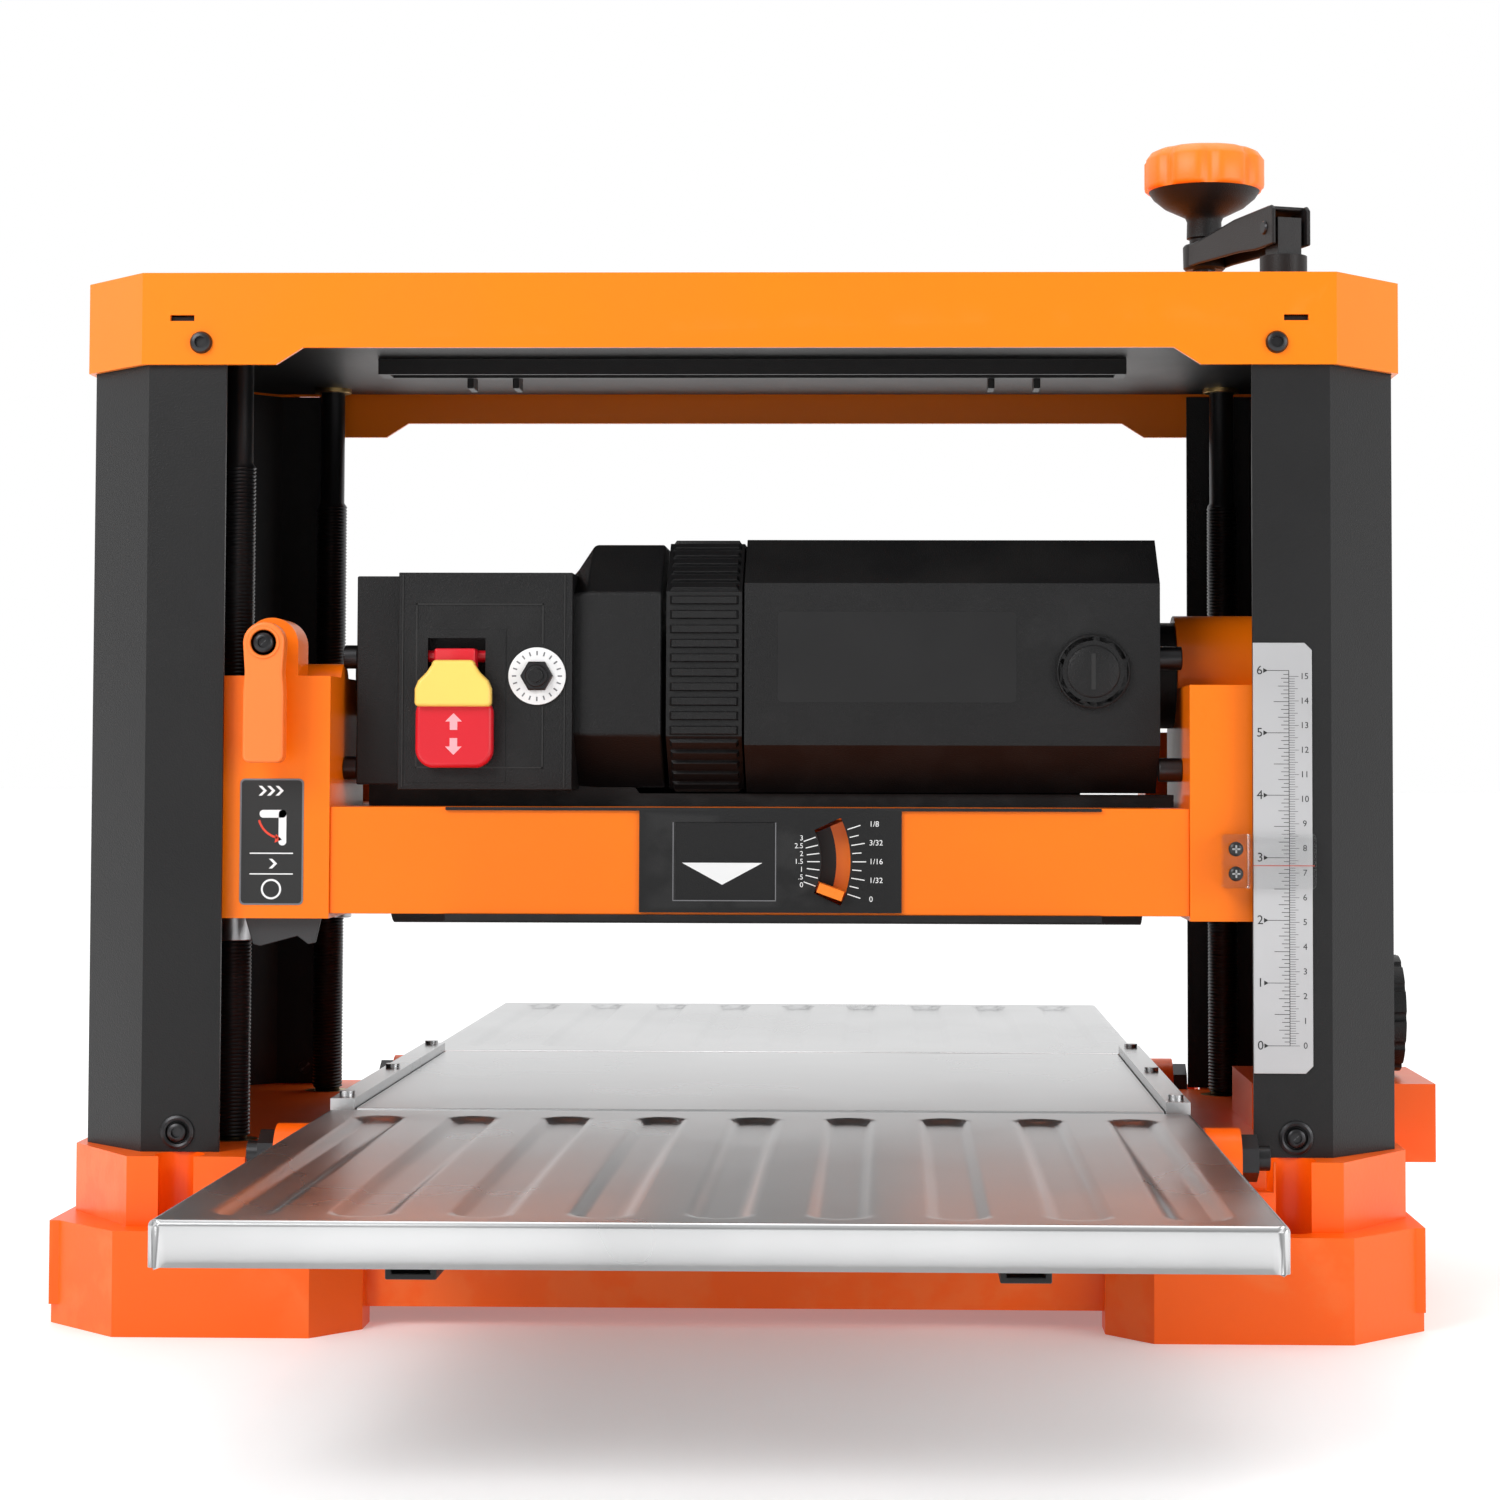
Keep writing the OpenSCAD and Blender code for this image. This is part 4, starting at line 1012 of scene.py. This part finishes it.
# %% Lens with its sight line and two cross-slot screws
lens_low, lens_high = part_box("scale_lens")
lens_z0, lens_z1 = lens_low.z / MM, lens_high.z / MM
lens_y = -146.0
lens = plate("lens_plate", rounded(198.5, 236, lens_z0, lens_z1, 1.6), "xz", lens_y, lens_y + 1.8)
tab = plate("lens_tab", rounded(198.5, 209.5, lens_z0, lens_z1, 1.0), "xz", lens_y + 1.9, -134.6)
lens = joined("lens_clear", [lens, tab])
smooth_by_angle(lens.data, math.radians(30))
add_bevel(lens, 0.35, 2)
attach(lens, "carriage", "clear_plastic")
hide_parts("scale_lens")
sight_z = zero_z + 73.0
thin_boxes("sight_line", [(210, 235.6, lens_y + 1.82, lens_y + 1.88, sight_z - 0.15,
                           sight_z + 0.15)],
           "mark_red", "carriage")
dome = [(0.1, 0), (3.0, 0), (3.0, 0.5), (2.4, 1.2), (1.2, 1.5), (0.1, 1.5)]
screws, cross = [], []
for z in (lens_z0 + 6, lens_z0 + 16):
    screws.append(turned("lens_screw", dome, (203.5, lens_y, z), (0, -1, 0), 24))
    cross += [(201.9, 205.1, lens_y - 1.56, lens_y - 1.3, z - 0.35, z + 0.35),
              (203.15, 203.85, lens_y - 1.56, lens_y - 1.3, z - 1.6, z + 1.6)]
attach(joined("lens_screws", screws), "carriage", "black_steel")
thin_boxes("lens_screw_slots", cross, "bright_steel", "carriage")
print("lens reads", round((sight_z - zero_z) / INCH, 2), "in")

# %% [markdown]
# ## Gauge plate print
# The depth-of-cut window has a scale on both sides, and a white triangle shows where the board
# goes in. Both scales turn about the pointer's own pivot, so their ticks fan out from it.

# %% Gauge marks
gauge_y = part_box("gauge_plate")[0].y / MM
pivot_x, pivot_z = 5.0, 189.0
face_y = (gauge_y - 0.06, gauge_y + 0.02)
triangle = plate("feed_triangle", [(-22.4, 188.4), (10.8, 188.4), (-5.8, 179.4)], "xz",
                 gauge_y + 0.4, gauge_y + 0.6)
attach(triangle, "carriage", "mark_white")


def fan_tick(angle, r0, r1, half):
    """A thin strip along a ray from the gauge pivot."""
    a = math.radians(angle)
    ux, uz = math.cos(a), math.sin(a)
    ring = [(pivot_x + r * ux - s * uz * half, pivot_z + r * uz + s * ux * half)
            for r, s in ((r0, -1), (r1, -1), (r1, 1), (r0, 1))]
    return plate("tick", ring, "xz", *face_y)


parts = []
left_labels = ["0", ".5", "1", "1.5", "2", "2.5", "3"]
right_labels = ["0", "1/32", "1/16", "3/32", "1/8"]
for i, label in enumerate(left_labels):
    share = i / 3 - 1
    parts.append(fan_tick(20 * share, 24.2, 29.4, 0.2))
    parts.append(number("mm_mark", label, pivot_x + 22.6, pivot_z + 9.6 * share, gauge_y, 3.0,
                        "RIGHT"))
for i, label in enumerate(right_labels):
    share = i / 2 - 1
    parts.append(fan_tick(18 * share, 42.8, 48.4, 0.2))
    parts.append(number("in_mark", label, pivot_x + 49.6, pivot_z + 15.4 * share, gauge_y, 3.2,
                        "LEFT"))
for share in (-0.75, -0.25, 0.25, 0.75):
    parts.append(fan_tick(18 * share, 42.8, 46.6, 0.2))
attach(joined("gauge_marks", parts), "carriage", "mark_white")

print("gauge marks:", len(parts))

# %% Cards behind the window, and the plate's edging
# A black card behind the window's inner part is painted shade, where the pointer's band lies in shadow, and an
# orange card stands for the band itself, so the slot doesn't look into the beam.
for title, r0, r1, y, material in (("gauge_painted_shade", 27.5, 36.5, -123.5, "mark_black"),
                                   ("gauge_band", 36.0, 44.0, -123.9, "orange_plastic")):
    outline = arc(pivot_x, pivot_z, r1, -22, 22, 24) + arc(pivot_x, pivot_z, r0, 22, -22, 24)
    outline = [(x, pivot_z + (z - pivot_z) * 1.06) for x, z in outline]
    band = plate(title, outline, "xz", y, y + 0.3)
    attach(band, "carriage", material)
insert_lines = [(-26.2, -25.8, *face_y, 173, 205), (16.0, 16.4, *face_y, 173, 205),
                (-26.2, 16.4, *face_y, 172.7, 173.1)]
thin_boxes("gauge_insert_lines", insert_lines, "mark_grey", "carriage")

# Black strips carry the plate's colour to the beam's own edges.
plate_low, plate_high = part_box("gauge_plate")
beam_low, beam_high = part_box("front_beam")
for low, high in ((beam_low.z, plate_low.z + 0.0003), (plate_high.z - 0.0003, beam_high.z)):
    edge = plate("gauge_edging", rounded(plate_low.x / MM, plate_high.x / MM, low / MM, high / MM,
                                         0.2), "xz",
                 gauge_y + 0.05, gauge_y + 1.6)
    attach(edge, "carriage", "black_paint")
print("gauge scales printed, edging", round((plate_low.z - beam_low.z) / MM, 1), "mm wide")

# %% [markdown]
# ## Feed speed label and lever
# The lever on the gearbox chooses a fast or a slow feed. Its label is drawn with plain shapes only:
# a lever, a curved arrow for its swing, and chevrons for fast and slow.

# %% Label
label_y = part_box("gearbox_casting")[0].y / MM
label_x0, label_x1, label_z0, label_z1 = -205.0, -178.6, 170.5, 222.5
card = plate("label_card", rounded(label_x0, label_x1, label_z0, label_z1, 2), "xz", label_y - 0.25,
             label_y + 0.1)
attach(card, "carriage", "mark_grey")
ink = plate("label_ink", rounded(label_x0 + 0.7, label_x1 - 0.7, label_z0 + 0.7, label_z1 - 0.7,
                                 1.6), "xz",
            label_y - 0.33, label_y - 0.2)
attach(ink, "carriage", "mark_black")
print_face = (label_y - 0.4, label_y - 0.3)
mid_x = (label_x0 + label_x1) / 2


def ring_plate(cx, cz, r0, r1, start, end, steps=14):
    """Part of a flat ring, facing the front."""
    outline = arc(cx, cz, r1, start, end, steps) + arc(cx, cz, r0, end, start, steps)
    return plate("ring", outline, "xz", *print_face)


def chevron(cx, cz, size, thick):
    """An arrowhead that points right."""
    outline = [(cx - size, cz + size), (cx - size + thick * 1.4, cz + size), (cx + thick * 1.4, cz),
               (cx - size + thick * 1.4, cz - size), (cx - size, cz - size), (cx, cz)]
    return plate("chevron", outline, "xz", *print_face)


icon_x, icon_z = mid_x + 4.5, 208
white = [plate("lever_icon", rounded(icon_x - 9.5, icon_x + 1.6, icon_z - 1.6, icon_z + 1.6, 1.5),
               "xz", *print_face),
         plate("lever_icon", rounded(icon_x - 1.6, icon_x + 1.6, icon_z - 13, icon_z + 1.6, 1.5),
               "xz", *print_face)]
white += [chevron(mid_x + dx, 217.5, 2.0, 1.0) for dx in (-3.5, 0.0, 3.5)]
white += [chevron(mid_x + 1, 187.5, 2.0, 1.0)]
white += [plate("rule", rounded(mid_x - 9, mid_x + 9, z, z + 0.5, 0.2), "xz", *print_face)
          for z in (183.0, 191.5)]
white += [ring_plate(mid_x, 177, 3.4, 4.2, 0, 180), ring_plate(mid_x, 177, 3.4, 4.2, 180, 360)]
attach(joined("label_white", white), "carriage", "mark_white")
swing = [ring_plate(icon_x, icon_z, 9.6, 10.5, 195, 258),
         plate("tip", [(icon_x - 2.6, icon_z - 8.3), (icon_x - 0.2, icon_z - 10.6),
                       (icon_x - 3.2, icon_z - 11.9)],
               "xz", *print_face)]
attach(joined("label_arrow", swing), "carriage", "mark_red")
print("label", round(label_x1 - label_x0, 1), "by", round(label_z1 - label_z0, 1), "mm")

# %% [markdown]
# The lever is a moulded handle on a steel shaft. An outline with a round eye at the top is enough
# for it, since both faces are flat; a wide bevel then gives the soft rim that a mould leaves.

# %% Lever
lever_low, lever_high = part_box("speed_lever")
lever_x, lever_z = -192.5, 278.0
grip = (arc(lever_x, lever_z, 8.6, 0, 180, 16) + [(lever_x - 7.8, lever_z - 12),
                                                  (lever_x - 8.4, lever_z - 20)]
        + arc(lever_x - 5.4, lever_z - 46, 3.0, 180, 270, 5) + arc(lever_x + 5.4, lever_z - 46, 3.0,
                                                                   270, 360, 5)
        + [(lever_x + 8.4, lever_z - 20), (lever_x + 7.8, lever_z - 12)])
lever = plate("lever_grip", grip, "xz", -152, -143.6)
smooth_by_angle(lever.data, math.radians(25))
add_bevel(lever, 1.3, 4, 40)
attach(lever, "lever", "salmon_plastic")
shaft = turned("lever_shaft", [(0.2, 0), (4, 0), (4, 22), (0.2, 22)], (lever_x, -143.8, lever_z),
               (0, 1, 0), 24)
attach(shaft, "lever", "bright_steel")
dish = turned("lever_collar", [(5.2, 0), (5.6, 0.6), (6.4, 0.6), (6.8, 0)],
              (lever_x, -152, lever_z), (0, -1, 0), 40)
attach(dish, "lever", "salmon_plastic")
screw = socket_screw("lever_screw", (lever_x, -151.8, lever_z), (0, -1, 0), 4.2, 1.6)
attach(screw, "lever", "black_steel")
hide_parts("speed_lever")
print("lever from", round(lever_low.z / MM), "to", round(lever_high.z / MM), "mm")

# %% [markdown]
# Two sheet guards keep chips off the drive: a notched grey one hangs under the gearbox, and a black
# one stands behind the front beam. Each is a plate cut to its outline, as the real ones are.

# %% Folded guard and chip shield
guard = plate("gear_guard", [(-204, 165.5), (-172, 165.5), (-174.5, 154.6), (-177.5, 154.0),
                             (-182, 157.4),
                             (-197.5, 153.2), (-200.5, 154.0)], "xz", -128, -126.5)
add_bevel(guard, 0.4, 2)
attach(guard, "carriage", "guard_grey")
shield = plate("chip_shield", [(-160, 209), (184, 209), (184, 216.4), (-44, 216.4), (-48, 222),
                               (-160, 222)],
               "xz", -84, -82.8)
attach(shield, "carriage", "black_paint")
print("guards made: 2")

# %% [markdown]
# ## Motor
# The motor's plastic casing is ribbed where cooling air is drawn in. The collar is a ring of ribs
# that follow the casing's eight-sided section, so it is made by sweeping that section along the
# motor and letting it step out at each rib.

# %% Motor section
collar_low, collar_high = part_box("vent_collar")
axis_y, axis_z = -56.0, 268.0
RIB_SPACING = 5.6


def section(grow, cut=22.0):
    """The motor's eight-sided section in Y and Z, grown outwards."""
    front, back = axis_y - 55 - grow, axis_y + 55 + grow
    low, top = axis_z - 51 - grow, axis_z + 57 + grow
    return [(front, low + cut), (front + 24, low), (back - 24, low), (back, low + cut),
            (back, top - cut), (back - 26, top), (front + 26, top), (front, top - cut)]


def around_section(grow, spacing, proud):
    """Points along the section with a square rib at every spacing."""
    corners = section(grow)
    ring = []
    for (y0, z0), (y1, z1) in zip(corners, corners[1:] + corners[:1]):
        length = math.hypot(y1 - y0, z1 - z0)
        ty, tz = (y1 - y0) / length, (z1 - z0) / length
        ny, nz = tz, -ty
        count = max(1, int(length / spacing))
        step = length / count
        for i in range(count):
            for share, lift in ((0.0, 0), (0.28, 0), (0.34, proud), (0.82, proud), (0.88, 0)):
                s = (i + share) * step
                ring.append((y0 + ty * s + ny * lift, z0 + tz * s + nz * lift))
    return ring


print("section corners:", len(section(0)))

# %% Ribs swept along the motor
ribbed = around_section(-1.6, RIB_SPACING, 1.5)
flat = around_section(-1.6, RIB_SPACING, 0.0)
x0, x1 = collar_low.x / MM + 1, collar_high.x / MM - 1
profile = [(x0, flat), (x0 + 1.5, flat), (x0 + 2.5, ribbed), (x1 - 2.5, ribbed), (x1 - 1.5, flat),
           (x1, flat)]
collar = swept("vent_ribs", [[(x * MM, y * MM, z * MM) for y, z in ring] for x, ring in profile])
smooth_by_angle(collar.data, math.radians(30))
add_bevel(collar, 0.25, 2)
attach(collar, "carriage", "black_plastic")
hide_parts("vent_collar")
panel_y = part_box("motor_housing")[0].y / MM
panel = plate("blank_panel", rounded(16, 116, 255, 293, 2), "xz", panel_y - 0.12, panel_y + 0.2)
attach(panel, "carriage", "satin_black")

print("collar ribs:", len(ribbed) // 5)

# %% Housing between switch and collar
# It slopes down to meet the lower switch box.
shoulder = []
for x, drop, squeeze in ((-76.5, 16.0, 3.5), (-70.5, 10.0, 2.6), (-63.5, 0.0, 2.0),
                         (-33.0, 0.0, 2.0)):
    ring = section(-squeeze)
    shoulder.append([(x * MM, y * MM, min(z, axis_z + 57 - squeeze - drop) * MM) for y, z in ring])
housing = swept("brush_end_housing", shoulder)
smooth_by_angle(housing.data, math.radians(20))
add_bevel(housing, 1.4, 3, 20)
attach(housing, "carriage", "black_plastic")
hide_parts("commutator_housing")
print("housing sections:", len(shoulder))

# %% [markdown]
# The carbon brushes sit behind round caps, one on each side of the motor. A turned profile gives a
# cap its rim and groove in one closed surface, and the coin slot is a thin dark mark across it.

# %% Brush caps with a coin slot
brush_low, brush_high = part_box("brush_holders")
cap_x, cap_z = 148.0, 268.0
cap_profile = [(15.5, -3.2), (15.5, -0.6), (14.8, 0.0), (12.9, 0.0), (12.4, -0.9), (11.6, -0.9),
               (11.0, 0.2), (10.2, 0.6), (0.2, 0.6)]
for end, side, y in (("front", -1, brush_low.y / MM), ("rear", 1, brush_high.y / MM)):
    cap = turned("brush_cap_" + end, cap_profile, (cap_x, y, cap_z), (0, side, 0), 64)
    attach(cap, "carriage", "black_plastic")
    slot_y = sorted((y + side * 0.62, y + side * 0.72))
    coin_slot = (cap_x - 0.9, cap_x + 0.9, *slot_y, cap_z - 7.5, cap_z + 7.5)
    thin_boxes("coin_slot_" + end, [coin_slot], "mark_black", "carriage")
print("brush caps at", cap_x, "mm")

# %% [markdown]
# ## Safety switch
# The paddle is a soft-cornered red plate that hangs from its top edge. A yellow key sits in it;
# with the key pulled out the motor can't be started. Both have crowned faces, made by cutting
# their outline, rounding it and adding a wide bevel.

# %% Switch face
box_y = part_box("switch_box")[0].y / MM
window = (-130.6, -106.4, 262.5, 281.5)
edge_x0, edge_x1, edge_z0, edge_z1 = -139.2, -97.8, 221.0, 285.0
face_span = (box_y - 0.35, box_y + 1.2)
face_bars = [(edge_x0, window[0], *face_span, edge_z0, edge_z1),
             (window[1], edge_x1, *face_span, edge_z0, edge_z1),
             (window[0], window[1], *face_span, edge_z0, window[2]),
             (window[0], window[1], *face_span, window[3], edge_z1)]
thin_boxes("switch_face", face_bars, "black_plastic", "carriage")
groove = []
for x0, x1, z0, z1 in ((-135.6, -135.0, 227, 296), (-82.6, -82.0, 227, 253),
                       (-82.6, -82.0, 279, 296),
                       (-135.6, -82.0, 295.4, 296), (-135.6, -82.0, 227, 227.6),
                       (-141.4, -140.9, 219, 308), (-73.4, -72.9, 219, 308)):
    groove.append((x0, x1, box_y - 0.42, box_y - 0.3, z0, z1))
thin_boxes("switch_panel_lines", groove, "mark_black", "carriage")
print("switch face with", len(groove), "panel lines")

# %% Paddle and key
paddle_low, paddle_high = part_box("switch_paddle")
px0, px1 = paddle_low.x / MM + 3.3, paddle_high.x / MM - 3.3
pmid = (px0 + px1) / 2
pz0 = paddle_low.z / MM
front = paddle_low.y / MM
lower = (arc(px1 - 8, pz0 + 8, 8, -80, 0, 8) + [(px1, 252), (px1 - 3, 256), (px0 + 3, 256),
                                                (px0, 252)]
         + arc(px0 + 8, pz0 + 8, 8, 180, 260, 8))
paddle = plate("paddle_plate", lower, "xz", front, front + 7.4)
smooth_by_angle(paddle.data, math.radians(25))
add_bevel(paddle, 2.2, 4, 35)
top_bar = plate("paddle_top", rounded(pmid - 8.6, pmid + 8.6, 264, 277, 1.0), "xz", front + 2.0,
                front + 12)
add_bevel(top_bar, 1.0, 3)
spine = plate("paddle_spine", rounded(pmid - 8, pmid + 8, 245, 272, 1), "xz", front + 4,
              front + 7.4)
pin = turned("paddle_pin", [(0.2, 0), (2.5, 0), (2.5, 39), (0.2, 39)], (px0 - 3.5, -110, 274),
             (1, 0, 0), 20)
for part in (paddle, top_bar, spine, pin):
    attach(part, "paddle", "red_plastic")
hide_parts("switch_paddle")
key_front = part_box("switch_key")[0].y / MM
shape = [(px0 + 0.2, 252.6), (px1 - 0.2, 252.6), (px1 - 0.2, 260), (px1 - 1.6, 263.4),
         (pmid + 11, 267), (pmid + 9, 270),
         (pmid + 8.8, 272), (pmid - 8.8, 272), (pmid - 9, 270), (pmid - 11, 267),
         (px0 + 1.6, 263.4), (px0 + 0.2, 260)]
key = plate("key_grip", shape, "xz", key_front, key_front + 6)
smooth_by_angle(key.data, math.radians(30))
add_bevel(key, 2.4, 4, 40)
attach(key, "key", "yellow_plastic")
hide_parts("switch_key")


def arrow(cx, cz, size, way):
    """An outline arrow in relief."""
    return plate("arrow", [(cx - size, cz), (cx, cz + way * size), (cx + size, cz),
                           (cx + size * 0.45, cz),
                           (cx + size * 0.45, cz - way * size), (cx - size * 0.45, cz - way * size),
                           (cx - size * 0.45, cz)], "xz", front - 0.12, front + 0.2)


signs = joined("paddle_arrows", [arrow(pmid, 246.4, 3.5, 1), arrow(pmid, 236.0, 3.5, -1)])
attach(signs, "paddle", "mark_pink")
print("paddle", round(px1 - px0, 1), "mm wide")

# %% [markdown]
# ## Overload breaker
# A button that pops out when the motor is overloaded sits in a threaded sleeve, held by a hexagon
# nut on a printed ring. All three are turned profiles; the nut is simply turned in six steps.
# Plain dashes stand on the ring where the real one has words.

# %% Breaker ring, nut and sleeve
bx, bz = -84.6, 265.6
face, toward = -116.2, (0, -1, 0)
disc = turned("breaker_disc", [(4.9, 0), (12.0, 0), (12.0, 1.2), (11.8, 1.3), (4.9, 1.3)],
              (bx, face + 1.3, bz), toward, 72)
attach(disc, "carriage", "mark_white")
nut = turned("breaker_nut", [(3.6, 0), (6.9, 0), (6.9, 1.6), (6.2, 2.2), (4.6, 2.2), (4.4, 3.2),
                             (3.6, 3.2)],
             (bx, face, bz), toward, 6, math.radians(30))
attach(nut, "carriage", "black_steel")
sleeve = turned("breaker_sleeve", [(3.1, 0), (4.7, 0), (4.7, 3.6), (4.3, 4.0), (3.1, 4.0)],
                (bx, face, bz), toward, 40)
attach(sleeve, "carriage", "black_steel")
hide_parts("breaker_body")
dashes = []
DASHES = 20
for k in range(DASHES):
    a = 2 * math.pi * k / DASHES
    c, s = math.cos(a), math.sin(a)
    box_pts = [(bx + r * c - t * s, bz + r * s + t * c) for r,
               t in ((8.7, -0.3), (10.5, -0.3), (10.5, 0.3), (8.7, 0.3))]
    dashes.append(plate("dash", box_pts, "xz", -116.28, -116.1))
attach(joined("breaker_dashes", dashes), "carriage", "mark_grey")
print("breaker ring with", DASHES, "dashes")
